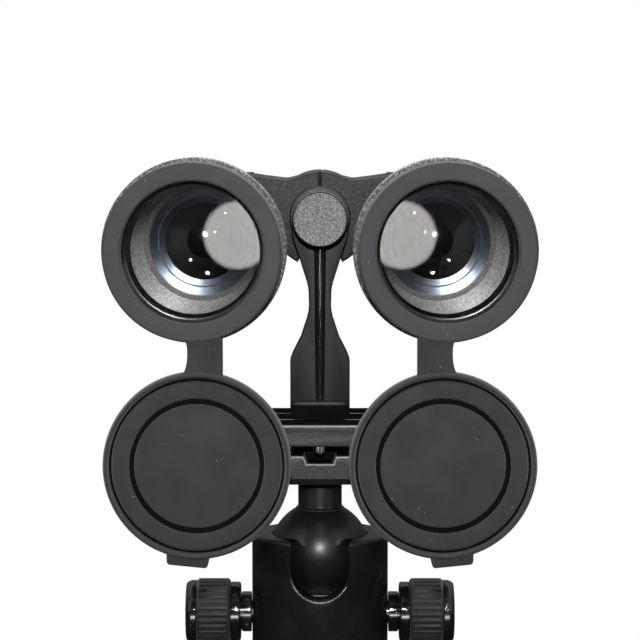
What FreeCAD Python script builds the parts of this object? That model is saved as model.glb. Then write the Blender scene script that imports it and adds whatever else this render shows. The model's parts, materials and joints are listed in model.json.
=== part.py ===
import FreeCAD, Part
import math
import os
import Sketcher

# Roof-prism binoculars held by an L bracket on a quick-release clamp and a ball head.
# Millimetres. +Z up, objectives face -Y, +X is the observer's left side seen from the front.
# The origin is the mouth of the tripod thread, at the middle of the base's underside.

DIMENSIONS = {
    # binoculars
    "barrel_offset": 38.5,
    "barrel_height": 153.7,
    "hinge_height": 161.8,
    "nose_front": -75.0,
    "nose_radius": 26.8,
    "nose_opening": 21.4,
    "shell_front_radius": 25.3,
    "shell_waist_radius": 22.8,
    "shell_prism_radius": 23.4,
    "armor_front_radius": 28.35,
    "armor_waist_radius": 24.8,
    "armor_prism_radius": 25.6,
    "drum_radius": 16.2,
    "knuckle_radius": 9.0,
    "shaft_radius": 5.0,
    "bridge_front": -11.0,
    "bridge_back": 3.0,
    "rear_bridge_front": 18.0,
    "rear_bridge_back": 30.0,
    "eyepiece_end": 60.0,
    # objective covers
    "cover_drop": 64.4,
    "cover_shift": 1.3,
    "cover_radius": 28.4,
    "cover_plateau": 25.7,
    "cover_thickness": 6.0,
    "cover_rim_rise": 1.2,
    "strap_width": 10.2,
    "strap_thickness": 1.6,
    "strap_shift": 3.8,
    # bracket, plate and clamp
    "bracket_front": -17.3,
    "bracket_thickness": 6.0,
    "bracket_foot_width": 19.4,
    "plate_top": 96.0,
    "plate_bottom": 87.4,
    "plate_front": -18.0,
    "plate_back": 20.0,
    "plate_width": 38.0,
    "clamp_floor": 84.4,
    "clamp_bottom": 74.7,
    "clamp_width": 52.0,
    # ball head
    "ball_height": 50.0,
    "ball_radius": 16.7,
    "stem_radius": 7.3,
    "housing_radius": 22.7,
    "housing_rim": 56.4,
    "housing_bottom": 14.3,
    "bore_radius": 19.3,
    "slot_width": 18.3,
    "slot_bottom": 37.8,
    "knob_height": 29.5,
    "base_radius": 24.0,
    "base_top": 14.0,
    "tripod_hole_radius": 4.0,
    # fits
    "running_gap": 0.05,
    "moving_gap": 0.3,
}

doc = FreeCAD.newDocument("binoculars")
parts = []


class Size:
    """A length from the sheet: the expression that binds it, and its value."""

    def __init__(self, text, value):
        self.text = text
        self.value = value

    def joined(self, sign, other, turned_round=False):
        other = other if isinstance(other, Size) else Size(repr(float(other)), float(other))
        a, b = (other, self) if turned_round else (self, other)
        results = {"+": a.value + b.value, "-": a.value - b.value, "*": a.value * b.value}
        return Size("(%s %s %s)" % (a.text, sign, b.text), results[sign])

    def __add__(self, other):
        return self.joined("+", other)

    def __radd__(self, other):
        return self.joined("+", other, True)

    def __sub__(self, other):
        return self.joined("-", other)

    def __rsub__(self, other):
        return self.joined("-", other, True)

    def __mul__(self, other):
        return self.joined("*", other)

    def __rmul__(self, other):
        return self.joined("*", other, True)

    def __neg__(self):
        return self.joined("*", -1)


def as_size(value):
    return value if isinstance(value, Size) else Size(repr(float(value)), float(value))


class Sheet:
    """The driving dimensions, as cells with aliases."""

    def __init__(self, values):
        self.cells = doc.addObject("Spreadsheet::Sheet", "dims")
        for row, (name, value) in enumerate(values.items(), 1):
            self.cells.set("A%d" % row, name)
            self.cells.set("B%d" % row, str(value))
            self.cells.setAlias("B%d" % row, name)
        doc.recompute()

    def __getattr__(self, name):
        return Size("dims." + name, float(self.cells.get(name)))


d = Sheet(DIMENSIONS)


# ---------------------------------------------------------------- building blocks

def bind(thing, **sizes):
    """Binds properties of an object to sizes of the sheet."""
    for name, value in sizes.items():
        thing.setExpression(name, as_size(value).text)


def move(thing, x=0, y=0, z=0):
    """Places an object and keeps its turn."""
    for name, value in (("x", x), ("y", y), ("z", z)):
        thing.setExpression("Placement.Base." + name, as_size(value).text)
    return thing


def origin_plane(body, role):
    return next(f for f in body.Origin.OriginFeatures if f.Role == role)


def closed_sketch(body, role, corners):
    """A closed outline of straight edges whose corners are bound to the sheet."""
    sketch = body.newObject("Sketcher::SketchObject", body.Name + "_outline")
    sketch.AttachmentSupport = [(origin_plane(body, role), "")]
    sketch.MapMode = "FlatFace"
    corners = [(as_size(a), as_size(b)) for a, b in corners]
    points = [FreeCAD.Vector(a.value, b.value, 0) for a, b in corners]
    count = len(points)
    sketch.addGeometry([Part.LineSegment(points[i], points[(i + 1) % count]) for i in range(count)], False)
    rules = [Sketcher.Constraint("Coincident", i, 2, (i + 1) % count, 1) for i in range(count)]
    for i, point in enumerate(points):
        rules.append(Sketcher.Constraint("DistanceX", -1, 1, i, 1, point.x))
        rules.append(Sketcher.Constraint("DistanceY", -1, 1, i, 1, point.y))
    sketch.addConstraint(rules)
    for i, (a, b) in enumerate(corners):
        sketch.setExpression("Constraints[%d]" % (count + 2 * i), a.text)
        sketch.setExpression("Constraints[%d]" % (count + 2 * i + 1), b.text)
    return sketch


def turned(name, axis, profile, x=0, y=0, z=0):
    """A turned piece: profile is (place along the axis, radius) all round the wall."""
    body = doc.addObject("PartDesign::Body", name)
    role = "XZ_Plane" if axis == "Z" else "XY_Plane"
    corners = profile if axis == "X" else [(radius, along) for along, radius in profile]
    sketch = closed_sketch(body, role, corners)
    lathe = body.newObject("PartDesign::Revolution", name + "_turning")
    lathe.Profile = sketch
    lathe.ReferenceAxis = (sketch, ["H_Axis" if axis == "X" else "V_Axis"])
    lathe.Angle = 360
    body.Tip = lathe
    return move(body, x, y, z)


def slab(name, outline, front, back, x=0, z=0):
    """A plate with an (x, z) outline, from y = front to y = back."""
    body = doc.addObject("PartDesign::Body", name)
    pad = body.newObject("PartDesign::Pad", name + "_pad")
    pad.Profile = closed_sketch(body, "XZ_Plane", outline)
    bind(pad, Length=as_size(back) - front)
    pad.Reversed = True
    body.Tip = pad
    return move(body, x, front, z)


def block(name, x, y, z):
    """A box between pairs of x, y and z."""
    box = doc.addObject("Part::Box", name)
    bind(box, Length=as_size(x[1]) - x[0], Width=as_size(y[1]) - y[0], Height=as_size(z[1]) - z[0])
    return move(box, x[0], y[0], z[0])


def rod(name, axis, radius, start, end, x=0, y=0, z=0, angle=360, first=0):
    """A cylinder along axis from start to end, or a sector of one from the angle first."""
    cylinder = doc.addObject("Part::Cylinder", name)
    bind(cylinder, Radius=radius, Height=as_size(end) - start)
    cylinder.Angle = angle
    turns = {"Z": FreeCAD.Rotation(), "X": FreeCAD.Rotation(FreeCAD.Vector(0, 1, 0), 90),
             "Y": FreeCAD.Rotation(FreeCAD.Vector(1, 0, 0), -90)}
    cylinder.Placement.Rotation = turns[axis] * FreeCAD.Rotation(FreeCAD.Vector(0, 0, 1), first)
    shift = {"X": (as_size(x) + start, y, z), "Y": (x, as_size(y) + start, z), "Z": (x, y, as_size(z) + start)}
    return move(cylinder, *shift[axis])


def ball_shape(name, radius, x=0, y=0, z=0):
    sphere = doc.addObject("Part::Sphere", name)
    bind(sphere, Radius=radius)
    return move(sphere, x, y, z)


def joined(name, *shapes):
    fusion = doc.addObject("Part::MultiFuse", name)
    fusion.Shapes = list(shapes)
    return fusion


def cut(name, base, *tools):
    """base with every tool taken away."""
    difference = doc.addObject("Part::Cut", name)
    difference.Base = base
    difference.Tool = tools[0] if len(tools) == 1 else joined(name + "_tools", *tools)
    return difference


def ring_of(name, tool, count, axis, x=0, y=0, z=0):
    """count copies of a tool, evenly round an axis through (x, y, z)."""
    centre = FreeCAD.Vector(as_size(x).value, as_size(y).value, as_size(z).value)
    copies = []
    for i in range(count):
        link = doc.addObject("Part::Feature", "%s_%d" % (name, i))
        shape = tool.Shape.copy()
        shape.rotate(centre, FreeCAD.Vector(*axis), 360.0 * i / count)
        link.Shape = shape
        copies.append(link)
    return joined(name, *copies)


def part(name, thing):
    """Registers an object as the finished sub-part called name."""
    thing.Label = name
    parts.append(thing)
    return thing


# ---------------------------------------------------------------- ball head

def pan_base():
    profile = [(0, 0), (0, d.base_radius - 1), (1, d.base_radius), (d.base_top - 1, d.base_radius),
               (d.base_top, d.base_radius - 1), (d.base_top, 12), (19.5, 12), (19.5, 0)]
    stock = turned("pan_base_stock", "Z", profile)
    thread = rod("tripod_thread", "Z", d.tripod_hole_radius, -1, 12)
    screw_hole = rod("pan_screw_hole", "Z", 3.05, 12, 20)
    part("pan_base", cut("pan_base", stock, thread, screw_hole))


def pan_retainer():
    profile = [(12.5, 0), (12.5, 3), (19.55, 3), (19.55, 14.5), (21.8, 14.5), (21.8, 5), (24, 4.5), (24, 0)]
    part("pan_retainer", turned("pan_retainer", "Z", profile))


def base_plug():
    profile = [(14.3, 12.05), (14.3, 19.2), (19.2, 19.2), (19.2, 12.05)]
    stock = turned("base_plug_stock", "Z", profile)
    part("base_plug", cut("base_plug", stock, rod("plug_lock_hole", "Y", 2.1, 0, 30, z=16.8)))


def head_housing():
    rim = d.housing_rim
    outside = [(d.housing_bottom, 0), (d.housing_bottom, d.housing_radius - 1.2),
               (d.housing_bottom + 1.2, d.housing_radius), (rim - 1.6, d.housing_radius),
               (rim - 0.4, d.housing_radius - 0.6), (rim, d.housing_radius - 1.8), (rim, 0)]
    stock = turned("housing_stock", "Z", outside)
    bore = rod("housing_bore", "Z", d.bore_radius, d.housing_bottom - 1, d.ball_height)
    socket = ball_shape("housing_socket", d.ball_radius + d.moving_gap, z=d.ball_height)
    mouth = rod("housing_mouth", "Z", 15.85, d.ball_height, rim + 1)
    half = d.slot_width * 0.5
    slot_top = block("slot_top", (-half, half), (-30, 0), (d.slot_bottom + half, rim + 1))
    slot_round = rod("slot_round", "Y", half, -30, 0, z=d.slot_bottom + half)
    knob_hole = rod("knob_holes", "X", 4.05, -30, 30, z=d.knob_height)
    lock_hole = rod("pan_lock_hole", "Y", 2.1, 0, 30, z=16.8)
    tools = (bore, socket, mouth, slot_top, slot_round, knob_hole, lock_hole)
    part("head_housing", cut("head_housing", stock, *tools))


def side_knob(name, side):
    """A knob's metal core with its screw, and the ribbed rubber grip on it."""
    along = [(19.5, 0), (19.5, 4), (22.9, 4), (22.9, 7), (26.2, 7), (26.2, 9.6), (26.8, 9.9),
             (29.8, 9.9), (29.8, 8.8), (41.2, 8.8), (41.2, 10.6), (44.2, 10.6), (44.7, 10.1), (44.7, 0)]
    grip = [(30.0, 8.85), (30.0, 10.6), (30.6, 11.1), (40.6, 11.1), (41.1, 10.6), (41.1, 8.85)]
    core = turned(name + "_knob", "X", [(side * a, r) for a, r in along], z=d.knob_height)
    part(name + "_knob", core)
    stock = turned(name + "_grip_stock", "X", [(side * a, r) for a, r in grip], z=d.knob_height)
    doc.recompute()
    low, high = sorted((side * 29, side * 42))
    groove = rod(name + "_groove", "X", 0.9, low, high, z=d.knob_height + 11.4)
    doc.recompute()
    grooves = ring_of(name + "_grooves", groove, 20, (1, 0, 0), z=d.knob_height)
    part(name + "_grip", cut(name + "_grip", stock, grooves))


def pan_lock_knob():
    profile = [(12.4, 0), (12.4, 2), (24.4, 2), (24.4, 4.6), (25, 5), (32, 5), (32.8, 4.3), (32.8, 0)]
    part("pan_lock_knob", turned("pan_lock_knob", "Y", profile, z=16.8))


def friction_cup():
    """A ring cut from a hollow ball, between 42 and 64 degrees below the ball's middle."""
    outer = ball_shape("cup_outer", d.bore_radius - d.moving_gap, z=d.ball_height)
    inner = ball_shape("cup_inner", d.ball_radius + d.moving_gap, z=d.ball_height)
    top = block("cup_top", (-25, 25), (-25, 25), (37.2, 75))
    bottom = block("cup_bottom", (-25, 25), (-25, 25), (25, 33.5))
    part("friction_cup", cut("friction_cup", outer, inner, top, bottom))


def ball():
    sphere = ball_shape("ball_sphere", d.ball_radius, z=d.ball_height)
    stem_profile = [(60, 0), (60, 9.5), (65.0, 9.0), (67.5, d.stem_radius), (d.clamp_bottom - 0.6, d.stem_radius),
                    (d.clamp_bottom, d.stem_radius - 0.6), (d.clamp_bottom, 0)]
    stem = turned("stem", "Z", stem_profile)
    bolt_hole = rod("stem_bolt_hole", "Z", 3.05, 62, 80)
    recess = block("stem_recess", (-2.5, 2.5), (-10, -5.6), (73.2, 76))
    flat = block("ball_flat", (-20, 20), (-20, 20), (30, 35.2))
    part("ball", cut("ball", joined("ball_and_stem", sphere, stem), bolt_hole, recess, flat))


# ---------------------------------------------------------------- clamp and plate

CLAMP_FRONT = -18.0
CLAMP_BACK = 18.0
SCREW_HEIGHT = 79.6
PIN_PLACE = 12.0


def clamp_holes(name):
    """The clamp screw's hole and the two guide pins' holes, all along X."""
    screw = rod(name + "_screw_hole", "X", 2.55, -30, -6.3, z=SCREW_HEIGHT)
    pins = [rod(name + "_pin_hole_%d" % i, "X", 1.55, -30, -2.0, y=y, z=SCREW_HEIGHT)
            for i, y in enumerate((-PIN_PLACE, PIN_PLACE))]
    return [screw] + pins


def lower_chamfers(name):
    """Bars turned by 45 degrees that take off the clamp's lower front and back edges."""
    leg = 2.2
    reach = leg * math.sqrt(2)
    bars = []
    for i, y in enumerate((CLAMP_FRONT, CLAMP_BACK)):
        bar = block("%s_chamfer_%d" % (name, i), (-30, 30), (0, reach), (0, reach))
        bar.Placement.Rotation = FreeCAD.Rotation(FreeCAD.Vector(1, 0, 0), 45)
        bars.append(move(bar, -30, y, d.clamp_bottom - leg))
    return bars


def clamp_base():
    """The body of the clamp: a channel with rails, and the fixed jaw on the +X side."""
    half = d.clamp_width * 0.5
    left, rail = -16.5, 9.5
    outline = [(left, 76.2), (left + 1.5, d.clamp_bottom), (half - 1.5, d.clamp_bottom), (half, 76.2),
               (half, 91.2), (half - 0.7, 91.9), (16.8, 91.9), (16.8, 91.4), (19.4, 88.8), (19.4, 87.35),
               (rail, 87.35), (rail, d.clamp_floor), (-rail, d.clamp_floor), (-rail, 87.35), (left, 87.35)]
    stock = slab("clamp_base_stock", outline, CLAMP_FRONT, CLAMP_BACK)
    bolt_hole = rod("clamp_bolt_hole", "Z", 3.05, 70, 90)
    head_hole = rod("clamp_head_hole", "Z", 5.3, 79.4, 90)
    notch = slab("clamp_notch", [(-5.1, 85), (-4.1, 82), (4.1, 82), (5.1, 85)], -19, -11)
    back_notch = slab("clamp_back_notch", [(-5.1, 85), (-4.1, 82), (4.1, 82), (5.1, 85)], 11, 19)
    holes = [bolt_hole, head_hole, notch, back_notch] + clamp_holes("base") + lower_chamfers("base")
    part("clamp_base", cut("clamp_base", stock, *holes))


def clamp_jaw():
    """The moving jaw, which slides on the guide pins along -X."""
    half = d.clamp_width * 0.5
    outline = [(-half, 76.2), (-half + 1.5, d.clamp_bottom), (-16.8, d.clamp_bottom), (-16.8, 87.2),
               (-19.4, 87.2), (-19.4, 88.8), (-16.8, 91.4), (-16.8, 91.9), (-half + 0.7, 91.9), (-half, 91.2)]
    stock = slab("clamp_jaw_stock", outline, CLAMP_FRONT, CLAMP_BACK)
    part("clamp_jaw", cut("clamp_jaw", stock, *clamp_holes("jaw"), *lower_chamfers("jaw")))


def guide_pins():
    pins = [rod("guide_pin_%d" % i, "X", 1.5, -25.5, -2.0, y=y, z=SCREW_HEIGHT)
            for i, y in enumerate((-PIN_PLACE, PIN_PLACE))]
    part("guide_pins", joined("guide_pins", *pins))


def clamp_knob():
    profile = [(-26.3, 2.6), (-26.3, 5.5), (-28, 5.5), (-28, 8.5), (-28.6, 9), (-38.4, 9), (-39, 8.4), (-39, 2.6)]
    stock = turned("clamp_knob_stock", "X", profile, z=SCREW_HEIGHT)
    doc.recompute()
    groove = rod("clamp_knob_groove", "X", 1.3, -40, -28.1, z=SCREW_HEIGHT + 9.8)
    doc.recompute()
    grooves = ring_of("clamp_knob_grooves", groove, 12, (1, 0, 0), z=SCREW_HEIGHT)
    part("clamp_knob", cut("clamp_knob", stock, grooves))
    screw = [(-6.5, 0), (-6.5, 2.5), (-38.2, 2.5), (-38.2, 2.2), (-38.6, 1.8), (-38.6, 0)]
    part("clamp_screw", turned("clamp_screw", "X", screw, z=SCREW_HEIGHT))


def clamp_bolt():
    profile = [(65, 0), (65, 3), (79.45, 3), (79.45, 5), (83.2, 5), (83.7, 4.5), (83.7, 2.2), (81, 2.2), (81, 0)]
    part("clamp_bolt", turned("clamp_bolt", "Z", profile))


def qr_plate():
    """The dovetail plate: widest at its lower edges, with a rubber pad in its top."""
    half = d.plate_width * 0.5
    low, deck = d.plate_bottom, d.plate_top - 1.4
    outline = [(-half, low), (half, low), (half, low + 1.2), (half - 2.6, low + 3.8), (half - 2.6, low + 4.9),
               (half, low + 5.5), (half, deck), (-half, deck), (-half, low + 5.5), (-half + 2.6, low + 4.9),
               (-half + 2.6, low + 3.8), (-half, low + 1.2)]
    stock = slab("qr_plate_stock", outline, d.plate_front, d.plate_back)
    screw_hole = rod("plate_screw_hole", "Z", 3.15, 80, 99)
    head_hole = rod("plate_head_hole", "Z", 7.2, 80, low + 4.0)
    stops = [rod("plate_stop_hole_%d" % i, "Z", 1.3, 80, 91, y=y) for i, y in enumerate((-15.2, 17.2))]
    part("qr_plate", cut("qr_plate", stock, screw_hole, head_hole, *stops))


def plate_pad():
    """The rubber pad, with ridges across it."""
    half = d.plate_width * 0.5 - 0.6
    top = d.plate_top
    pad = block("plate_pad_stock", (-half, half), (d.plate_front + 0.6, d.plate_back - 0.6), (top - 1.4, top - 0.02))
    doc.recompute()
    groove_places = [-14.5, -11.5, 17.6]
    grooves = [block("pad_groove_%d" % i, (-25, 25), (y, y + 0.9), (top - 0.6, top + 1))
               for i, y in enumerate(groove_places)]
    part("plate_pad", cut("plate_pad", pad, rod("pad_screw_hole", "Z", 3.15, 80, 99), *grooves))


def plate_screws():
    profile = [(88.6, 2.4), (86.6, 2.4), (86.6, 6.4), (87.0, 6.8), (91.35, 6.8), (91.35, 3.1), (100.5, 3.1),
               (101, 2.6), (101, 0), (88.6, 0)]
    part("plate_screw", turned("plate_screw", "Z", profile))
    stops = [turned("plate_stop_screw_%d" % i, "Z",
                    [(84.9, 0), (84.9, 1.45), (85.2, 1.7), (87.35, 1.7), (87.35, 1.25), (90.8, 1.25), (90.8, 0)], y=y)
             for i, y in enumerate((-15.2, 17.2))]
    part("plate_stop_screws", joined("plate_stop_screws", *stops))


# ---------------------------------------------------------------- bracket

def bracket():
    """The L bracket: a lobe round the hinge's axis, a waist, and a foot on the plate."""
    front, back = d.bracket_front, d.bracket_front + d.bracket_thickness
    up = d.hinge_height
    foot = d.bracket_foot_width * 0.5
    right = [(9.9, 0.5), (9.9, -4.7), (6.15, -13.7), (3.7, -22.2), (3.6, -24.5), (3.6, -30.2), (4.2, -33.0),
             (6.2, -38.3), (8.9, -43.5)]
    outline = [(x, up + h) for x, h in right]
    outline += [(foot, up - 45.6), (foot, d.plate_top), (-foot, d.plate_top), (-foot, up - 45.6)]
    outline += [(-x, up + h) for x, h in reversed(right)]
    upright = slab("bracket_upright", outline, front, back)
    lobe = rod("bracket_lobe", "Y", 9.9, front, back, z=up + 0.5)
    foot_block = block("bracket_foot", (-foot, foot), (back, 17.5), (d.plate_top, d.plate_top + 5.6))
    stud_hole = rod("bracket_stud_hole", "Y", 3.3, -20, -8, z=up)
    screw_hole = rod("bracket_screw_hole", "Z", 3.15, 90, 101.3)
    groove = slab("bracket_groove", [(-1.55, up - 11), (1.55, up - 11), (0.95, up - 59), (0.5, up - 60),
                                     (-0.5, up - 60), (-0.95, up - 59)], -20, front + 1.3)
    stock = joined("bracket_stock", upright, lobe, foot_block)
    part("bracket", cut("bracket", stock, stud_hole, screw_hole, groove))


def bracket_knob():
    front = d.bracket_front
    profile = [(0.6, 3.15), (front - 0.1, 3.15), (front - 0.1, 7.0), (front - 0.9, 7.0), (front - 0.9, 8.6),
               (front - 1.4, 9.1), (front - 9.8, 9.1), (front - 10.5, 8.4), (front - 10.5, 0), (1.2, 0), (1.2, 2.6)]
    stock = turned("bracket_knob_stock", "Y", profile, z=d.hinge_height)
    doc.recompute()
    groove = rod("bracket_knob_groove", "Y", 0.5, -40, front - 0.95, z=d.hinge_height + 9.3)
    doc.recompute()
    grooves = ring_of("bracket_knob_grooves", groove, 36, (0, 1, 0), z=d.hinge_height)
    part("bracket_knob", cut("bracket_knob", stock, grooves))


# ---------------------------------------------------------------- hinge and focusing

def hinge_shaft():
    """The front half of the hinge pin, tapped for the bracket's stud."""
    gap = d.moving_gap
    profile = [(d.bridge_front, 3.2), (d.bridge_front, d.shaft_radius), (d.bridge_back + gap, d.shaft_radius),
               (d.bridge_back + gap, 0), (1.4, 0), (1.4, 3.2)]
    part("hinge_shaft", turned("hinge_shaft", "Y", profile, z=d.hinge_height))


def center_tube():
    """The rear half of the hinge pin, hollow, with the focus slider's chamber."""
    front, back = d.bridge_back + d.moving_gap, d.rear_bridge_front - d.moving_gap
    end = d.rear_bridge_back + d.moving_gap
    profile = [(front, 0), (front, 12.5), (back, 12.5), (back, d.shaft_radius), (end, d.shaft_radius), (end, 2.9),
               (back - 1.5, 2.9), (back - 1.5, 10.8), (front + 1.5, 10.8), (front + 1.5, 0)]
    stock = turned("center_tube_stock", "Y", profile, z=d.hinge_height)
    up = d.hinge_height
    window = block("center_tube_window", (-15, 15), (front + 1.5, back - 1.5), (up - 9.5, up + 2.6))
    part("center_tube", cut("center_tube", stock, window))


ARM_PLACE = 10.5
FOCUS_TRAVEL = 2.2


def focus_drive():
    """The wheel, its ribbed grip, the threaded spindle and the slider with its groove."""
    start = d.rear_bridge_back + 1.0
    wheel = [(start, 2.65), (start, 10.5), (start + 0.8, 11.4), (start + 14.2, 11.4), (start + 15, 10.5),
             (start + 15, 2.65)]
    part("focus_wheel", turned("focus_wheel", "Y", wheel, z=d.hinge_height))
    grip = [(start + 1.2, 11.45), (start + 1.2, 12.6), (start + 1.8, 13.1), (start + 13.2, 13.1),
            (start + 13.8, 12.6), (start + 13.8, 11.45)]
    stock = turned("focus_grip_stock", "Y", grip, z=d.hinge_height)
    doc.recompute()
    groove = rod("focus_grip_groove", "Y", 0.8, 30, 50, z=d.hinge_height + 13.3)
    doc.recompute()
    grooves = ring_of("focus_grip_grooves", groove, 30, (0, 1, 0), z=d.hinge_height)
    part("focus_grip", cut("focus_grip", stock, grooves))
    spindle = [(5.2, 0), (5.2, 2.4), (start - 0.5, 2.4), (start - 0.5, 2.6), (start + 14.6, 2.6), (start + 14.6, 0)]
    part("focus_spindle", turned("focus_spindle", "Y", spindle, z=d.hinge_height))
    slider = [(-3.3, 2.45), (-3.3, 8.6), (-2.1, 8.6), (-2.1, 6.6), (2.1, 6.6), (2.1, 8.6), (3.3, 8.6), (3.3, 2.45)]
    near = [(ARM_PLACE + a, r) for a, r in slider]
    part("focus_slider", turned("focus_slider", "Y", near, z=d.hinge_height))


# ---------------------------------------------------------------- one barrel of the binoculars

SHELL_BREAKS = (-71.8, -58.0, -36.0, -10.0, -2.0, 38.0, 46.0, 50.0)


def shell_radii():
    waist, prism = d.shell_waist_radius, d.shell_prism_radius
    front = d.shell_front_radius
    return (front, front, waist + 0.4, waist, prism, prism, as_size(20.0), as_size(18.2))


def half_bridge(name, side):
    """The lugs that join one barrel to the hinge, before the hinge's own bores."""
    pieces = []
    up = d.hinge_height
    spans = ((d.bridge_front, d.bridge_back), (d.rear_bridge_front, d.rear_bridge_back))
    for i, (front, back) in enumerate(spans):
        first = -64.5 if side > 0 else 90.6
        pieces.append(rod("%s_drum_%d" % (name, i), "Y", d.drum_radius, front, back, z=up, angle=153.9,
                          first=-first - 153.9))
        arm = [(7, -11.6), (16, -11.6), (24, -8), (33, 3), (33, 11.5), (27, 13.3), (23, 13.7), (15, 12.9), (7, 12.9)]
        pieces.append(slab("%s_arm_%d" % (name, i), [(side * x, up + h) for x, h in arm], front, back))
    return joined(name, *pieces)


def knuckle_spans(side):
    """The stretches of the hinge, along Y, in which this side's full rings lie."""
    if side > 0:
        return ((-6.2, -1.8), (21.9, 26.1))
    return ((-11.0, -6.4), (-1.6, 3.0), (18.0, 21.7), (26.3, 30.0))


def barrel_body(name, side):
    """The metal body of one barrel: tube, prism housing and hinge lugs in one casting."""
    x, z, up = side * d.barrel_offset, d.barrel_height, d.hinge_height
    outer = [(a, r) for a, r in zip(SHELL_BREAKS, shell_radii())]
    outside = turned(name + "_outside", "Y", [(SHELL_BREAKS[0], 0)] + outer + [(SHELL_BREAKS[-1], 0)], x=x, z=z)
    bore = [(-73, 0), (-73, 23.7), (-66.15, 23.7), (-66.15, 21.55), (-57.5, 21.55), (-57.5, 19.6), (-56.5, 19.6),
            (-55, 21.2), (-36, 21.2), (-10, 20.9), (-2, 21.5), (40, 21.5), (44.5, 16.0), (52, 16.0), (52, 0)]
    inside = turned(name + "_inside", "Y", bore, x=x, z=z)
    lugs = half_bridge(name + "_lugs", side)
    rings = [rod("%s_knuckle_%d" % (name, i), "Y", d.knuckle_radius, a, b, z=up)
             for i, (a, b) in enumerate(knuckle_spans(side))]
    clear = [rod("%s_clear_%d" % (name, i), "Y", d.knuckle_radius + d.moving_gap, a - 0.1, b + 0.1, z=up)
             for i, (a, b) in enumerate(knuckle_spans(-side))]
    pin = rod(name + "_pin_hole", "Y", d.shaft_radius + d.running_gap, -12, 31, z=up)
    arm_slot = arm_block(name + "_arm_slot", side, 2.3, FOCUS_TRAVEL + 2.3, 6)
    lugs_cut = cut(name + "_lugs_cut", lugs, *clear)
    stock = joined(name + "_stock", outside, lugs_cut, *rings)
    part(name, cut(name, stock, inside, pin, arm_slot))


def arm_block(name, side, half_height, half_length, start):
    """A block along the line from the hinge's axis to a barrel's axis, start away from the hinge."""
    drop = d.hinge_height.value - d.barrel_height.value
    slope = math.degrees(math.atan2(drop, d.barrel_offset.value))
    length = math.hypot(drop, d.barrel_offset.value) - start - 18.0
    box = doc.addObject("Part::Box", name)
    bind(box, Length=length, Width=2 * half_length, Height=2 * half_height)
    turn = slope if side > 0 else 180 - slope
    rotation = FreeCAD.Rotation(FreeCAD.Vector(0, 1, 0), turn)
    corner = rotation.multVec(FreeCAD.Vector(start, -half_length, -half_height))
    box.Placement = FreeCAD.Placement(FreeCAD.Vector(), rotation)
    return move(box, corner.x, ARM_PLACE + corner.y, d.hinge_height + corner.z)


def armor(name, side):
    """The rubber skin over the tube and the prism housing."""
    front, waist, prism = d.armor_front_radius, d.armor_waist_radius, d.armor_prism_radius
    x, z = side * d.barrel_offset, d.barrel_height
    outer = [(-61.4, front - 0.5), (-60.8, front), (-50, front), (-46, front - 0.5), (-30, waist + 0.5),
             (-14, waist), (-4, prism - 0.4), (3, prism), (36, prism), (43, 23.0), (46.2, 21.3), (46.9, 20.4)]
    inner = [(46.9, 19.6), (46.0, 20.0), (38.0, d.shell_prism_radius), (-2.0, d.shell_prism_radius),
             (-10.0, d.shell_waist_radius), (-36.0, d.shell_waist_radius + 0.4), (-58.0, d.shell_front_radius),
             (-61.4, d.shell_front_radius)]
    skin = turned(name + "_skin", "Y", outer + inner, x=x, z=z)
    bridge = half_bridge(name + "_bridge", side)
    slot = arm_block(name + "_arm_slot", side, 2.3, FOCUS_TRAVEL + 2.3, 6)
    part(name, cut(name, skin, bridge, slot))


def objective(side_name, side):
    """Retaining ring, front lens and the ribbed light baffle behind it."""
    place = {"x": side * d.barrel_offset, "z": d.barrel_height}
    retainer = [(-70.6, 21.6), (-70.6, 23.65), (-66.2, 23.65), (-66.2, 20.4), (-67.4, 20.4), (-67.4, 21.0)]
    part(side_name + "_objective_ring", turned(side_name + "_objective_ring", "Y", retainer, **place))
    front = [(-66.1 + 4.0 * (r / 21.5) ** 2, r) for r in (0, 6, 11, 15, 18.5, 21.5)]
    lens = front + [(-57.6, 21.5), (-57.6, 18.0), (-58.4, 0)]
    part(side_name + "_objective_lens", turned(side_name + "_objective_lens", "Y", lens, **place))
    ribs, pitch, start, rib = 9, 5.6, -54.6, 0.8
    end = start + ribs * pitch
    outline = [(start, 20.9), (end, 20.7), (end, 19.9)]
    for i in reversed(range(ribs)):
        place_of_rib = start + i * pitch
        tip = 17.5 + 0.05 * (ribs - i)
        outline += [(place_of_rib + rib, 19.9), (place_of_rib + rib, tip), (place_of_rib, tip)]
        if i:
            outline.append((place_of_rib, 19.9))
    part(side_name + "_baffle", turned(side_name + "_baffle", "Y", outline, **place))


def focusing(side_name, side):
    """The sliding cell with its arm in the slider's groove, and its lens."""
    place = {"x": side * d.barrel_offset, "z": d.barrel_height}
    tube = [(6.0, 13.0), (6.0, 20.6), (15.0, 20.6), (15.0, 13.0)]
    ring = turned(side_name + "_focus_tube", "Y", tube, **place)
    arm = arm_block(side_name + "_focus_arm", side, 1.8, 1.8, 7.2)
    part(side_name + "_focus_cell", joined(side_name + "_focus_cell", ring, arm))
    lens = [(7.0, 0), (8.2, 6), (7.6, 12.95), (13.4, 12.95), (12.2, 6), (11.6, 0)]
    part(side_name + "_focus_lens", turned(side_name + "_focus_lens", "Y", lens, **place))


def prism(side_name, side):
    """The roof prism pair, as one block with a sloping roof."""
    x, z = side * d.barrel_offset, d.barrel_height
    outline = [(-11, -13), (11, -13), (14, -6), (14, 8), (0, 15.5), (-14, 8), (-14, -6)]
    part(side_name + "_prism", slab(side_name + "_prism", outline, 19.4, 41.5, x=x, z=z))


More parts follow.
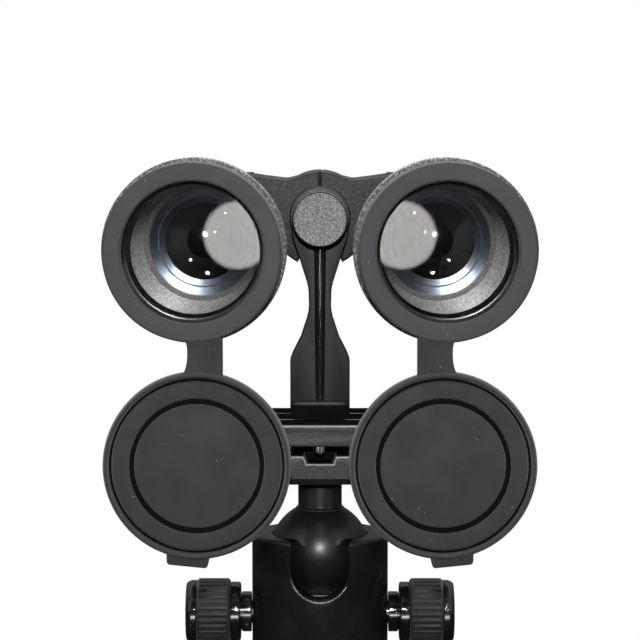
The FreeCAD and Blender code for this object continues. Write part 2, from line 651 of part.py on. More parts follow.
def eyepiece(side_name, side):
    """Eyepiece tube, eye lens, the twist sleeve and the rubber eyecup."""
    place = {"x": side * d.barrel_offset, "z": d.barrel_height}
    end = d.eyepiece_end
    tube = [(42.5, 13.2), (42.5, 15.9), (end - 1, 15.9), (end - 1, 12.0), (end - 4, 12.0), (end - 4, 13.2)]
    part(side_name + "_eyepiece", turned(side_name + "_eyepiece", "Y", tube, **place))
    lens = [(end - 9.6, 0), (end - 9.6, 12.5), (end - 4.1, 12.5), (end - 4.1, 11.6), (end - 3.2, 6), (end - 3.0, 0)]
    part(side_name + "_eye_lens", turned(side_name + "_eye_lens", "Y", lens, **place))
    sleeve = [(50.4, 16.2), (50.4, 17.6), (end + 1.5, 17.6), (end + 1.5, 16.2)]
    part(side_name + "_eyecup_sleeve", turned(side_name + "_eyecup_sleeve", "Y", sleeve, **place))
    cup = [(51.5, 17.9), (51.5, 19.8), (52.3, 20.6), (69.5, 20.2), (71.3, 19.2), (72, 17.8), (71.4, 16.4),
           (66, 14.6), (62.3, 14.4), (62.3, 17.9)]
    part(side_name + "_eyecup", turned(side_name + "_eyecup", "Y", cup, **place))


def diopter_ring():
    profile = [(47.2, 19.8), (47.2, 21.0), (47.8, 21.6), (50.4, 21.6), (50.9, 21.1), (50.9, 18.5), (50.3, 18.5)]
    part("diopter_ring", turned("diopter_ring", "Y", profile, x=-d.barrel_offset, z=d.barrel_height))


# ---------------------------------------------------------------- objective covers

def cover_ring(side_name, side):
    """The rubber ring round the objective, which carries the cover's strap."""
    front, nose, hole = d.nose_front, d.nose_radius, d.nose_opening
    profile = [(front, hole + 0.6), (front, nose - 1.3), (front + 0.3, nose - 0.5), (front + 1.2, nose),
               (front + 13, nose + 0.5), (front + 13.2, nose), (front + 13.2, 25.6), (front + 2.8, 25.6),
               (front + 2.8, hole), (front + 0.6, hole)]
    place = {"x": side * d.barrel_offset, "z": d.barrel_height}
    ring = turned(side_name + "_cover_ring", "Y", profile, **place)
    part(side_name + "_cover_ring", ring)
    half = d.strap_width * 0.5
    middle = side * (d.barrel_offset - d.strap_shift)
    y = (d.nose_front + 0.1, d.nose_front + 0.1 + d.strap_thickness)
    tongue = block(side_name + "_strap_stock", (middle - half, middle + half), y,
                   (d.barrel_height - 31.4, d.barrel_height - 20))
    room = rod(side_name + "_strap_room", "Y", nose + 0.12, -80, -60, **place)
    part(side_name + "_strap", cut(side_name + "_strap", tongue, room))


def cover(side_name, side):
    """The flip-down rubber cover, hanging, with its inside facing forward."""
    x = side * (d.barrel_offset - d.cover_shift)
    z = d.barrel_height - d.cover_drop
    face = d.nose_front - 0.1
    back = face + d.cover_thickness
    rise = face - d.cover_rim_rise
    plateau, rim = d.cover_plateau, d.cover_radius
    groove = 19.65
    profile = [(face, 0), (face, groove - 0.7), (face + 0.7, groove - 0.5), (face + 0.7, groove + 0.5),
               (face, groove + 0.7), (face, plateau - 0.5), (face + 0.5, plateau), (face + 1.6, plateau + 0.4),
               (face + 1.6, rim - 1.0), (rise + 0.3, rim - 1.0), (rise, rim - 0.75), (rise, rim - 0.3),
               (rise + 0.4, rim), (back - 1.5, rim), (back - 0.3, rim - 1.0), (back, rim - 2.4), (back, 0)]
    disc = turned(side_name + "_cover_disc", "Y", profile, x=x, z=z)
    strap_middle = side * (d.barrel_offset - d.strap_shift)
    half = d.strap_width * 0.5
    gap = block(side_name + "_cover_gap", (strap_middle - half - 0.8, strap_middle + half + 0.8),
                (rise - 1, face + 0.05), (z + 24.5, z + 30))
    flap = block(side_name + "_cover_flap", (strap_middle - half, strap_middle + half),
                 (face + 0.2, face + 0.2 + d.strap_thickness), (z + 26, d.barrel_height - 33.0))
    tab = block(side_name + "_cover_tab", (-6.15, 6.15), (face + 0.9, back - 1.2), (-31.0, -25.5))
    lean = side * 5.8
    tab.Placement.Rotation = FreeCAD.Rotation(FreeCAD.Vector(0, 1, 0), -lean)
    corner = tab.Placement.Rotation.multVec(FreeCAD.Vector(-6.15, 0, -31.0))
    move(tab, x + corner.x, face + 0.9, z + corner.z)
    disc_cut = cut(side_name + "_cover_disc_cut", disc, gap)
    part(side_name + "_cover", joined(side_name + "_cover", disc_cut, flap, tab))


def main():
    pan_base()
    pan_retainer()
    base_plug()
    head_housing()
    side_knob("lock", -1)
    side_knob("friction", 1)
    pan_lock_knob()
    friction_cup()
    ball()
    clamp_base()
    clamp_jaw()
    guide_pins()
    clamp_knob()
    clamp_bolt()
    qr_plate()
    plate_pad()
    plate_screws()
    bracket()
    bracket_knob()
    hinge_shaft()
    center_tube()
    focus_drive()
    for side_name, side in (("left", -1), ("right", 1)):
        barrel_body(side_name + "_body", side)
        armor(side_name + "_armor", side)
        objective(side_name, side)
        focusing(side_name, side)
        prism(side_name, side)
        eyepiece(side_name, side)
        cover_ring(side_name, side)
        cover(side_name, side)
    diopter_ring()
    doc.recompute()
    for thing in doc.Objects:
        if "Invalid" in thing.State or "Error" in thing.State:
            raise RuntimeError("%s could not be built: %s" % (thing.Name, thing.State))
    os.makedirs("parts", exist_ok=True)
    for thing in parts:
        if thing.Shape.isNull() or not thing.Shape.isValid():
            raise RuntimeError("%s has no valid shape" % thing.Label)
    for thing in parts:
        thing.Shape.exportStep("parts/%s.step" % thing.Label)
    print(len(parts), "sub-parts written")


main()
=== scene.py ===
"""Roof-prism binoculars on an L bracket, a quick-release clamp and a ball head.

Lengths in this script are millimetres until a mesh is made. +Z is up and the objectives face -Y.
"left" is the barrel on the -X side.
"""
import json
from math import acos, asin, cos, degrees, exp, pi, radians, sin, sqrt, tan

import bmesh
import bpy
from mathutils import Matrix, Vector

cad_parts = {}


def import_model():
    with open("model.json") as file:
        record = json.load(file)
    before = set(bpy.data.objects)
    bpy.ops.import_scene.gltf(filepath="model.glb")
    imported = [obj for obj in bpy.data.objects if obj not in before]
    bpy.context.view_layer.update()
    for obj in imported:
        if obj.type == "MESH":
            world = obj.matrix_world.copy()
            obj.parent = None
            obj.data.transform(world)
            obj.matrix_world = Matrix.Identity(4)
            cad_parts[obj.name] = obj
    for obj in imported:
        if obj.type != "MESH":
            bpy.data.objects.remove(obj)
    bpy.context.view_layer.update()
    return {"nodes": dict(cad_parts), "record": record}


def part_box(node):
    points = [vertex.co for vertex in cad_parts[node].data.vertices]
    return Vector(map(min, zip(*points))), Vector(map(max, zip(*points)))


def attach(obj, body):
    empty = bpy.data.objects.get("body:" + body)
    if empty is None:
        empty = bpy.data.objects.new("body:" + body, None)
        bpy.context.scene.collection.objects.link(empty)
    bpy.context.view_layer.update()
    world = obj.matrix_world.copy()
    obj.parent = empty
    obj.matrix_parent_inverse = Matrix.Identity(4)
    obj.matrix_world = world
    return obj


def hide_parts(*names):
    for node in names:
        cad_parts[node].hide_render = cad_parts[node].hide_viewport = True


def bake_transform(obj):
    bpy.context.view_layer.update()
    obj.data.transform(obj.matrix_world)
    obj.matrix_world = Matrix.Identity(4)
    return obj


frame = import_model()

MM = 0.001
EYECUP_RIBS = 36
DIOPTER_RIBS = 60
WHEEL_RIBS = 30
SIDE_KNOB_RIBS = 30
BRACKET_KNOB_TEETH = 72
CLAMP_KNOB_LOBES = 12
STOP_SCREW_RIBS = 14
BAFFLE_RIBS = 44
PAN_TICKS = 72


class Place:
    """A CAD node's box: its corners, its middle and its size."""

    def __init__(self, node):
        low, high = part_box(node)
        self.low, self.high = low / MM, high / MM
        self.middle = (self.low + self.high) / 2
        self.size = self.high - self.low


# ---------------------------------------------------------------- shapes

def rounded(points, closed=True, least=0.0):
    """Outline points (a, b, radius): a corner becomes a short curve, unless its radius is under least."""
    out = []
    count = len(points)
    for i, point in enumerate(points):
        corner = Vector(point[:2])
        radius = point[2] if len(point) > 2 else 0
        if not radius or (not closed and i in (0, count - 1)):
            out.append(corner)
            continue
        before = Vector(points[i - 1][:2]) - corner
        after = Vector(points[(i + 1) % count][:2]) - corner
        turn = pi - before.angle(after)
        if turn < 0.02:
            out.append(corner)
            continue
        reach = min(radius * tan(turn / 2), 0.48 * before.length, 0.48 * after.length)
        if reach < least * tan(turn / 2):
            out.append(corner)
            continue
        start = corner + before.normalized() * reach
        end = corner + after.normalized() * reach
        steps = max(2, min(10, round(turn / 0.2)))
        for k in range(steps + 1):
            t = k / steps
            out.append(start * (1 - t) ** 2 + corner * 2 * t * (1 - t) + end * t * t)
    return out


def crossing(start, along, other, other_along):
    """Where two lines meet, or the middle of their starts when they run side by side."""
    turn = along.cross(other_along)
    if abs(turn) < 1e-6:
        return (start + other) / 2
    return start + along * ((other - start).cross(other_along) / turn)


def grown(outline, amount):
    """A closed anticlockwise outline moved outwards; a corner that would turn inside out stays a corner."""
    count = len(outline)
    steps = [(outline[(i + 1) % count] - outline[i]).normalized() for i in range(count)]
    out = []
    for i, point in enumerate(outline):
        before, after = steps[i - 1], steps[i]
        normal = Vector((before.y + after.y, -before.x - after.x))
        if normal.length < 1e-6:
            normal = Vector((before.y, -before.x))
        normal.normalize()
        square = max(0.5, normal.dot(Vector((after.y, -after.x))))
        out.append(point + normal * amount / square)
    turned_over = [(out[(i + 1) % count] - out[i]).dot(steps[i]) <= 0 for i in range(count)]
    if all(turned_over) or not any(turned_over):
        return out
    first = turned_over.index(False)
    i = 0
    while i < count:
        start = (first + i) % count
        if not turned_over[start]:
            i += 1
            continue
        run = 1
        while turned_over[(start + run) % count]:
            run += 1
        last = (start + run) % count
        corner = crossing(out[start], steps[start - 1], out[last], steps[last])
        for k in range(run + 1):
            out[(start + k) % count] = corner
        i += run
    return out


def anticlockwise(outline):
    area = sum(outline[i - 1].x * p.y - p.x * outline[i - 1].y for i, p in enumerate(outline))
    return outline if area > 0 else outline[::-1]


def mirrored(half):
    """Outline points, then the same points on the other side of the middle, in reverse."""
    return half + [(-point[0], *point[1:]) for point in reversed(half)]


def arc(middle, radius, first, last, steps=24):
    """Points on an arc, with its angles in degrees."""
    turns = [radians(first + (last - first) * k / steps) for k in range(steps + 1)]
    return [(middle[0] + radius * cos(t), middle[1] + radius * sin(t)) for t in turns]


ROUND = {
    "X": lambda along, r, t, c: Vector((along, c.y + r * cos(t), c.z + r * sin(t))),
    "Y": lambda along, r, t, c: Vector((c.x + r * cos(t), along, c.z + r * sin(t))),
    "Z": lambda along, r, t, c: Vector((c.x + r * cos(t), c.y + r * sin(t), along)),
}
FLAT = {
    "X": lambda a, b, depth: Vector((depth, a, b)),
    "Y": lambda a, b, depth: Vector((a, depth, b)),
    "Z": lambda a, b, depth: Vector((a, b, depth)),
}


class Solid:
    """Vertices and faces of one or more closed skins."""

    def __init__(self):
        self.verts = []
        self.faces = []

    def skin(self, rows, loop=False, caps=True):
        """Joins rows of points. A row of one point is a pole; loop joins the last row to the first."""
        starts = []
        for row in rows:
            starts.append(len(self.verts))
            self.verts.extend(row)
        pairs = list(zip(range(len(rows)), range(1, len(rows))))
        if loop:
            pairs.append((len(rows) - 1, 0))
        for a, b in pairs:
            width = max(len(rows[a]), len(rows[b]))
            for k in range(width):
                n = (k + 1) % width
                near = [starts[a]] if len(rows[a]) == 1 else [starts[a] + k, starts[a] + n]
                far = [starts[b]] if len(rows[b]) == 1 else [starts[b] + n, starts[b] + k]
                self.faces.append(near + far)
        if caps and not loop:
            for row, start in ((rows[0], starts[0]), (rows[-1], starts[-1])):
                if len(row) > 2:
                    self.faces.append(list(range(start, start + len(row))))
        return self

    def turned(self, axis, profile, centre, steps=144, closed=None, shape=None):
        """Turns (along, radius, rounding) points round an axis through centre."""
        on_axis = profile[0][1] == 0 and profile[-1][1] == 0
        closed = not on_axis if closed is None else closed
        rows = []
        for along, radius in rounded(profile, closed):
            if radius < 1e-5:
                rows.append([ROUND[axis](along, 0, 0, centre)])
                continue
            row = []
            for k in range(steps):
                turn = 2 * pi * k / steps
                reach = radius + shape(turn, along, radius) if shape else radius
                row.append(ROUND[axis](along, reach, turn, centre))
            rows.append(row)
        return self.skin(rows, loop=closed, caps=False)

    def plate(self, axis, outline, front, back, edge=0.4, back_edge=None, steps=4):
        """A flat outline with rounded rims, between two depths along an axis."""
        back_edge = edge if back_edge is None else back_edge
        outline = anticlockwise(rounded(outline, least=1.1 * max(edge, back_edge)))
        turns = [pi / 2 * k / steps for k in range(steps + 1)]
        layers = [(front + edge * (1 - sin(t)), -edge * (1 - cos(t))) for t in reversed(turns)]
        layers += [(back - back_edge * (1 - sin(t)), -back_edge * (1 - cos(t))) for t in turns]
        rows = [[FLAT[axis](p.x, p.y, depth) for p in grown(outline, grow)] for depth, grow in layers]
        return self.skin(rows)

    def bar(self, low, high, edge=0.3, axis="Z"):
        """A box between two corners, with rounded edges."""
        spans = {"X": (1, 2, 0), "Y": (0, 2, 1), "Z": (0, 1, 2)}[axis]
        a, b, depth = [(low[i], high[i]) for i in spans]
        outline = [(a[0], b[0], edge), (a[1], b[0], edge), (a[1], b[1], edge), (a[0], b[1], edge)]
        return self.plate(axis, outline, depth[0], depth[1], edge)

    def moved(self, matrix, start=0):
        self.verts[start:] = [matrix @ v for v in self.verts[start:]]
        return self

    def mesh(self, name):
        mesh = bpy.data.meshes.new(name)
        mesh.from_pydata([v * MM for v in self.verts], [], self.faces)
        work = bmesh.new()
        work.from_mesh(mesh)
        bmesh.ops.remove_doubles(work, verts=work.verts, dist=1e-7)
        bmesh.ops.recalc_face_normals(work, faces=work.faces)
        work.to_mesh(mesh)
        work.free()
        return mesh


def rod(axis, start, end, radius, centre=Vector(), steps=64):
    """A plain cylinder, which cuts a round hole."""
    return Solid().turned(axis, [(start, 0), (start, radius), (end, radius), (end, 0)], centre, steps)


def smooth(mesh, angle=35):
    mesh.polygons.foreach_set("use_smooth", [True] * len(mesh.polygons))
    mesh.set_sharp_from_angle(angle=radians(angle))


def piece(name, solid, body, material, slot, nodes=(), angle=35, cutters=()):
    """Makes a visible piece that rides on a body and stands for the CAD nodes named."""
    mesh = solid.mesh(name)
    thing = bpy.data.objects.new(name, mesh)
    bpy.context.scene.collection.objects.link(thing)
    if cutters:
        carve(thing, cutters)
    smooth(thing.data, angle)
    thing.data.materials.clear()
    thing.data.materials.append(material)
    if body:
        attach(thing, body)
    if nodes:
        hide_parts(*nodes)
    return thing


def carve(thing, cutters):
    """Takes each cutter's solid away from a piece and keeps the result as its mesh."""
    helpers = []
    for i, cutter in enumerate(cutters):
        helper = bpy.data.objects.new("cutter_%d" % i, cutter.mesh("cutter"))
        bpy.context.scene.collection.objects.link(helper)
        helpers.append(helper)
        step = thing.modifiers.new("carve_%d" % i, "BOOLEAN")
        step.operation = "DIFFERENCE"
        step.solver = "EXACT"
        step.object = helper
    graph = bpy.context.evaluated_depsgraph_get()
    graph.update()
    result = bpy.data.meshes.new_from_object(thing.evaluated_get(graph))
    thing.modifiers.clear()
    thing.data = result
    for helper in helpers:
        bpy.data.objects.remove(helper)


# ---------------------------------------------------------------- materials

SHADER_INPUTS = {
    "colour": "Base Color", "rough": "Roughness", "metal": "Metallic", "level": "Specular IOR Level",
    "coat": "Coat Weight", "coat_rough": "Coat Roughness", "sheen": "Sheen Weight",
    "sheen_rough": "Sheen Roughness", "ior": "IOR", "clear": "Transmission Weight", "coat_ior": "Coat IOR",
}


class Nodes:
    """Builds one material's node tree round its Principled shader."""

    def __init__(self, name):
        self.material = bpy.data.materials.new(name)
        self.material.use_nodes = True
        self.tree = self.material.node_tree
        self.shader = self.tree.nodes["Principled BSDF"]
        self.place = self.tree.nodes.new("ShaderNodeTexCoord").outputs["Object"]

    def new(self, kind):
        return self.tree.nodes.new("ShaderNode" + kind)

    def feed(self, socket, value):
        """Gives a socket a colour or a number, or links it to another node's output."""
        if isinstance(value, tuple):
            socket.default_value = (*value, 1)
        elif isinstance(value, (int, float)):
            socket.default_value = value
        else:
            self.tree.links.new(value, socket)

    def texture(self, kind, size, stretch, **inputs):
        """A texture whose features measure about size millimetres; stretch draws them out."""
        node = self.new(kind)
        for name, value in inputs.items():
            node.inputs[name].default_value = value
        node.inputs["Scale"].default_value = 1 / (size * MM)
        place = self.place
        if stretch:
            mapping = self.new("Mapping")
            mapping.inputs["Scale"].default_value = stretch
            self.feed(mapping.inputs["Vector"], place)
            place = mapping.outputs["Vector"]
        self.feed(node.inputs["Vector"], place)
        return node

    def noise(self, size, detail=2.0, rough=0.5, stretch=None):
        return self.texture("TexNoise", size, stretch, Detail=detail, Roughness=rough).outputs["Fac"]

    def cells(self, size, smoothness=None):
        """Distance from the middles of scattered cells, with soft seams when a smoothness is given."""
        node = self.texture("TexVoronoi", size, None)
        if smoothness is not None:
            node.feature = "SMOOTH_F1"
            node.inputs["Smoothness"].default_value = smoothness
        return node.outputs["Distance"]

    def curve(self, value, low, high, out_low=0.0, out_high=1.0):
        """Maps a value's range onto another one, clamped."""
        node = self.new("MapRange")
        inputs = {"Value": value, "From Min": low, "From Max": high, "To Min": out_low, "To Max": out_high}
        for name, given in inputs.items():
            self.feed(node.inputs[name], given)
        return node.outputs["Result"]

    def sum(self, a, b, how="ADD"):
        node = self.new("Math")
        node.operation = how
        for socket, value in zip(node.inputs, (a, b)):
            self.feed(socket, value)
        return node.outputs["Value"]

    def mix(self, share, first, second):
        """Mixes two colours or a colour and another mix."""
        node = self.new("Mix")
        node.data_type = "RGBA"
        self.feed(node.inputs["Factor"], share)
        for name, value in (("A", first), ("B", second)):
            self.feed(next(s for s in node.inputs if s.name == name and s.type == "RGBA"), value)
        return next(s for s in node.outputs if s.type == "RGBA")

    def bump(self, height, depth, strength=1.0):
        """Raises the surface by height times depth, in millimetres."""
        node = self.new("Bump")
        node.inputs["Strength"].default_value = strength
        node.inputs["Distance"].default_value = depth * MM
        self.feed(node.inputs["Height"], height)
        self.feed(self.shader.inputs["Normal"], node.outputs["Normal"])

    def set(self, **values):
        for name, value in values.items():
            self.feed(self.shader.inputs[SHADER_INPUTS[name]], value)


def grey(value, warm=0.0):
    """A grey with a slight tint: cool below zero, warm above it."""
    return (value * (1 + warm), value, value * (1 - warm))


def rubber(name, base, dust=0.5, rough=0.72):
    """Matt moulded rubber: fine grain, cloudy tone and a few specks of dust."""
    n = Nodes(name)
    cloud = n.curve(n.noise(9, 3), 0.35, 0.65)
    fine = n.curve(n.noise(0.5, 2, 0.6), 0.3, 0.75)
    tone = n.mix(cloud, grey(base * 0.86, -0.03), grey(base * 1.12, -0.03))
    tone = n.mix(n.sum(fine, 0.3, "MULTIPLY"), tone, grey(base * 1.9, -0.03))
    specks = n.curve(n.cells(3.4), 0.075, 0.045)
    rare = n.curve(n.noise(6.0, 1), 0.52, 0.60)
    marks = n.sum(n.sum(specks, rare, "MULTIPLY"), dust, "MULTIPLY")
    tone = n.mix(marks, tone, grey(0.32))
    n.set(colour=tone, rough=n.curve(cloud, 0, 1, rough - 0.06, rough + 0.07), level=0.4, sheen=0.12,
          sheen_rough=0.5)
    n.bump(n.noise(0.35, 3, 0.6), 0.028, 0.8)
    return n.material


def pebbled(name, base):
    """Textured armour rubber with small raised pebbles, painted lighter on their tops and darker between them
    as painted highlight and painted shade, and painted paler on the pebbles round the flared nose as a
    painted highlight.
    """
    n = Nodes(name)
    pebbles = n.cells(0.95, 0.35)
    cloud = n.curve(n.noise(7, 3), 0.35, 0.65)
    # pebble tops painted lighter and the gaps between them darker: painted highlight and painted shade
    tone = n.mix(n.curve(pebbles, 0.1, 0.6), grey(base * 1.35, -0.02), grey(base * 0.6, -0.02))
    tone = n.mix(n.sum(cloud, 0.4, "MULTIPLY"), tone, grey(base * 1.5))
    split = n.new("SeparateXYZ")
    n.feed(split.inputs[0], n.place)
    # a painted highlight on the pebbles round the flared nose, where the rim would catch the light
    nose_highlight = n.sum(n.curve(split.outputs["Y"], -0.050, -0.058), n.curve(pebbles, 0.1, 0.55, 1, 0.15),
                 "MULTIPLY")
    tone = n.mix(nose_highlight, tone, grey(0.22))
    n.set(colour=tone, rough=n.curve(pebbles, 0.1, 0.6, 0.42, 0.68), level=0.5)
    height = n.sum(n.curve(pebbles, 0.0, 0.65, 1, 0), n.sum(n.noise(0.25, 2), 0.25, "MULTIPLY"))
    n.bump(height, 0.16, 0.9)
    return n.material


def coated(name, base, rough=0.5, grain=0.42, depth=0.035, painted_sparkle=0.3, level=0.5):
    """Powder coat or cast metal painted over: a fine grain whose peaks are painted lighter, a painted
    highlight where they would catch the light.
    """
    n = Nodes(name)
    fine = n.noise(grain, 3, 0.65)
    peaks = n.curve(fine, 0.52, 0.72)
    cloud = n.curve(n.noise(6, 3), 0.35, 0.65)
    tone = n.mix(cloud, grey(base * 0.85, -0.04), grey(base * 1.15, -0.04))
    # the grain's peaks painted lighter: a painted highlight
    tone = n.mix(n.sum(peaks, painted_sparkle, "MULTIPLY"), tone, grey(min(0.5, base * 5), -0.02))
    n.set(colour=tone, rough=n.curve(fine, 0.3, 0.7, rough + 0.1, rough - 0.1), level=level)
    n.bump(fine, depth, 1.0)
    return n.material


def satin(name, base, rough=0.3, coat=0.0, level=0.5):
    """Anodised or enamelled black metal: a faint orange peel and finger-worn patches."""
    n = Nodes(name)
    cloud = n.curve(n.noise(11, 4), 0.3, 0.7)
    wear = n.noise(2.2, 4, 0.6)
    tone = n.mix(cloud, grey(base * 0.8, -0.03), grey(base * 1.2, -0.01))
    n.set(colour=tone, level=level, coat=coat, coat_rough=0.12,
          rough=n.curve(n.sum(cloud, wear, "MULTIPLY"), 0.1, 0.6, rough - 0.05, rough + 0.06))
    n.bump(n.noise(0.7, 2), 0.006, 0.7)
    return n.material


def bare(name, colour, rough=0.28):
    """Bare turned metal with fine tool marks."""
    n = Nodes(name)
    marks = n.noise(0.16, 3, 0.6)
    stain = n.curve(n.noise(3, 3), 0.35, 0.7)
    dark = tuple(c * 0.72 for c in colour)
    n.set(colour=n.mix(stain, colour, dark), metal=1.0,
          rough=n.curve(marks, 0.3, 0.7, rough - 0.06, rough + 0.1))
    n.bump(marks, 0.01, 0.6)
    return n.material


def cast(name, base):
    """Bare casting: rounded grains painted bright on their tops and dark in the pits between them, as painted
    highlight and painted shade.
    """
    n = Nodes(name)
    grains = n.curve(n.cells(0.5, 0.3), 0.12, 0.62, 1, 0)
    rough = n.noise(0.3, 2, 0.7)
    # grain tops painted bright and pits painted dark: painted highlight and painted shade
    light = n.curve(n.sum(grains, rough, "MULTIPLY"), 0.05, 0.5)
    n.set(colour=n.mix(light, grey(base * 0.25), grey(base * 1.25, 0.01)), metal=0.3, rough=0.45, level=0.5)
    n.bump(n.sum(grains, rough), 0.10, 0.8)
    return n.material


def blasted(name, base):
    """Blasted bright metal: a coarse sparkling grain, drawn out along the barrel."""
    n = Nodes(name)
    grain = n.curve(n.noise(0.42, 3, 0.7, (1, 0.09, 1)), 0.36, 0.64)
    n.set(colour=n.mix(grain, grey(base * 0.2), grey(base * 2.2)), rough=0.5, level=0.2, metal=0.2)
    return n.material


def glass(name, tint):
    """Coated optical glass: clear, with a sharp reflection, and it doesn't bend what lies behind it."""
    n = Nodes(name)
    inside = n.new("NewGeometry")
    front = n.curve(inside.outputs["Backfacing"], 0, 1, 1, 0)
    n.set(colour=tint, rough=0.0, clear=1.0, ior=1.0, level=0.0, coat=front, coat_rough=0.03, coat_ior=1.5)
    return n.material


def plastic(name, colour, rough=0.4):
    n = Nodes(name)
    tone = n.mix(n.curve(n.noise(5, 3), 0.3, 0.7), colour, tuple(c * 0.85 for c in colour))
    n.set(colour=tone, rough=n.curve(n.noise(0.8, 2), 0.3, 0.7, rough - 0.05, rough + 0.08))
    n.bump(n.noise(0.4, 2), 0.008, 0.6)
    return n.material


RUBBER = rubber("smooth_rubber", 0.033)
# the ring's rubber painted darker for the cover and strap: painted shade, as they hang lower where less light
# falls
COVER_RUBBER_PAINTED_DARKER = rubber("cover_rubber", 0.0115)
# near-black rubber: the plate's pad, and dark rings and sheets of painted shade in grooves, gaps and hollows
BLACK_RUBBER_AND_SHADE = satin("black_rubber_and_painted_shade", 0.004, rough=0.9, level=0.03)
# pale paint for thin strips along edges: a painted highlight
EDGE_HIGHLIGHT_PAINT = satin("painted_edge_highlight", 0.34, rough=0.4)
ARMOR = pebbled("pebbled_armor", 0.022)
BRIDGE = coated("bridge_coat", 0.008, rough=0.5, grain=0.6, depth=0.14, painted_sparkle=0.65, level=0.28)
BRACKET = coated("bracket_coat", 0.0075, rough=0.42, grain=0.45, painted_sparkle=0.15, level=0.2)
CAST = cast("cast_knob_face", 0.30)
CLAMP = coated("clamp_coat", 0.018, rough=0.34, grain=0.6, depth=0.1, painted_sparkle=0.35, level=0.4)
HOUSING = satin("housing_enamel", 0.005, rough=0.3, level=0.35)
BALL = satin("ball_enamel", 0.006, rough=0.36, level=0.4)
ANODISED = satin("black_anodised", 0.010, rough=0.3, level=0.4)
TURNED_BLACK = satin("turned_black", 0.006, rough=0.22, coat=0.3, level=0.35)
GRIP = rubber("grip_rubber", 0.009, dust=0.1, rough=0.6)
EYECUP = rubber("eyecup_rubber", 0.035, dust=0.3, rough=0.66)
STEEL = bare("bright_steel", (0.62, 0.61, 0.59))
BRASS = bare("brass", (0.72, 0.52, 0.24))
BAFFLE = blasted("blasted_baffle", 0.03)
POLISHED = bare("polished_stop", (0.10, 0.113, 0.133), rough=0.34)
SHELL_BLACK = satin("shell_black", 0.004, rough=0.5, level=0.15)
GLOSS_BLACK = satin("gloss_black", 0.008, rough=0.14)
PAINT = plastic("white_marking_paint", (0.72, 0.72, 0.70), rough=0.5)
ACETAL = plastic("acetal", (0.62, 0.60, 0.55))
GLASS = glass("coated_glass", (0.97, 0.985, 1.0))
# near-black stand-in for the glass deep in a barrel: painted shade
INNER_PAINTED_SHADE = satin("inner_glass_painted_shade", 0.002, rough=0.3, level=0.05)
CAD_FINISH = {
    "housing": HOUSING, "anodised": ANODISED, "ball": BALL, "clamp": CLAMP, "bracket": BRACKET, "knob": CAST,
    "bridge": BRIDGE, "armor": ARMOR, "cover_rubber": RUBBER, "eyecup": EYECUP, "grip": GRIP,
    "bearing": ACETAL, "steel": STEEL, "brass": BRASS, "lens": GLASS,
}
INSIDE = ("_prism", "_focus_lens", "_focus_cell")


def finish_cad_nodes():
    """Every CAD node takes the finish of its slot, but the eyecup sleeves are anodised and the glass and
    cells deep in a barrel are near black, painted shade for the dark inside; each is shaded smooth up to its
    sharp edges.
    """
    for entry in frame["record"]["subparts"]:
        thing = frame["nodes"][entry["node"]]
        thing.data.materials.clear()
        finish = CAD_FINISH[entry["material_slot"]]
        # the prisms, focusing lens and its cell deep in a barrel are made near black: painted shade for the
        # barrel's dark inside
        if entry["node"].endswith(INSIDE):
            finish = INNER_PAINTED_SHADE
        elif entry["node"].endswith("_eyecup_sleeve"):
            finish = ANODISED
        thing.data.materials.append(finish)
        smooth(thing.data, 32)


# ---------------------------------------------------------------- objective end of a barrel

LENS_OPENING = 21.4
LENS_CURVE = 110.0
NOSE = 25.65
COVER_SHIFT = 1.3
COVER_DROP = 64.4
COVER_RADIUS = 28.4
COVER_PLATEAU = 25.7
COVER_GROOVE = 19.65
COVER_LEAN = 5.8
STRAP_HALF = 5.1
STRAP_TOP = 25.9


class Barrel:
    """One barrel's name, its side of the hinge and its optical axis."""

    def __init__(self, name, side):
        self.name, self.side = name, side
        middle = self.place("cover_ring").middle
        self.axis = Vector((middle.x, 0, middle.z))

    def place(self, node):
        return Place("%s_%s" % (self.name, node))

    def piece(self, name, solid, body, material, slot, node=None, **how):
        """Makes a piece that rides on one of this barrel's bodies and stands for one of its nodes."""
        nodes = ["%s_%s" % (self.name, node)] if node else ()
        body = body and "%s_%s" % (self.name, body)
        return piece("%s_%s" % (self.name, name), solid, body, material, slot, nodes, **how)


BARRELS = (Barrel("left", -1), Barrel("right", 1))


def cover_ring(barrel):
    """Soft ring round the objective, with a rounded rim and a lip over the nose."""
    place = barrel.place("cover_ring")
    front, back, outer = place.low.y, place.high.y, place.size.x / 2
    lip = front + 2.8
    profile = [(front, LENS_OPENING + 0.05, 0.9), (front, outer - 0.35, 0.9), (front + 6, outer - 0.2, 4),
               (back - 2.6, outer, 0.4), (back - 2.0, outer - 0.35, 0.3), (back - 1.6, outer, 0.3),
               (back, outer - 0.1, 0.5), (back, NOSE, 0.3), (lip, NOSE, 0.3), (lip, LENS_OPENING, 0.5)]
    barrel.piece("cover_ring_rubber", Solid().turned("Y", profile, barrel.axis, 192), "cover_ring", RUBBER,
                 "cover_rubber", "cover_ring")


def strap(barrel):
    """The strip from the ring to its cover: the outer edge flares at both ends, the inner one is straight."""
    axis, side = barrel.axis, barrel.side
    place = barrel.place("strap")
    middle = place.middle.x
    front, back = place.low.y, place.high.y
    top, bottom = axis.z - STRAP_TOP, axis.z - COVER_DROP + COVER_RADIUS - 1.6
    rows = []
    count = 30
    for k in range(count + 1):
        t = k / count
        z = top + (bottom - top) * t
        flare = 1.1 * exp(-(t * 8)) + 2.6 * exp(-((1 - t) * 5.5))
        left, right = sorted((middle - side * (STRAP_HALF + 0.4), middle + side * (STRAP_HALF + flare)))
        outline = rounded([(left, front, 0.5), (right, front, 0.5), (right, back, 0.5), (left, back, 0.5)])
        rows.append([Vector((p.x, p.y, z)) for p in outline])
    thing = barrel.piece("strap_rubber", Solid().skin(rows), None, COVER_RUBBER_PAINTED_DARKER, "cover_rubber", "strap")
    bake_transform(thing)


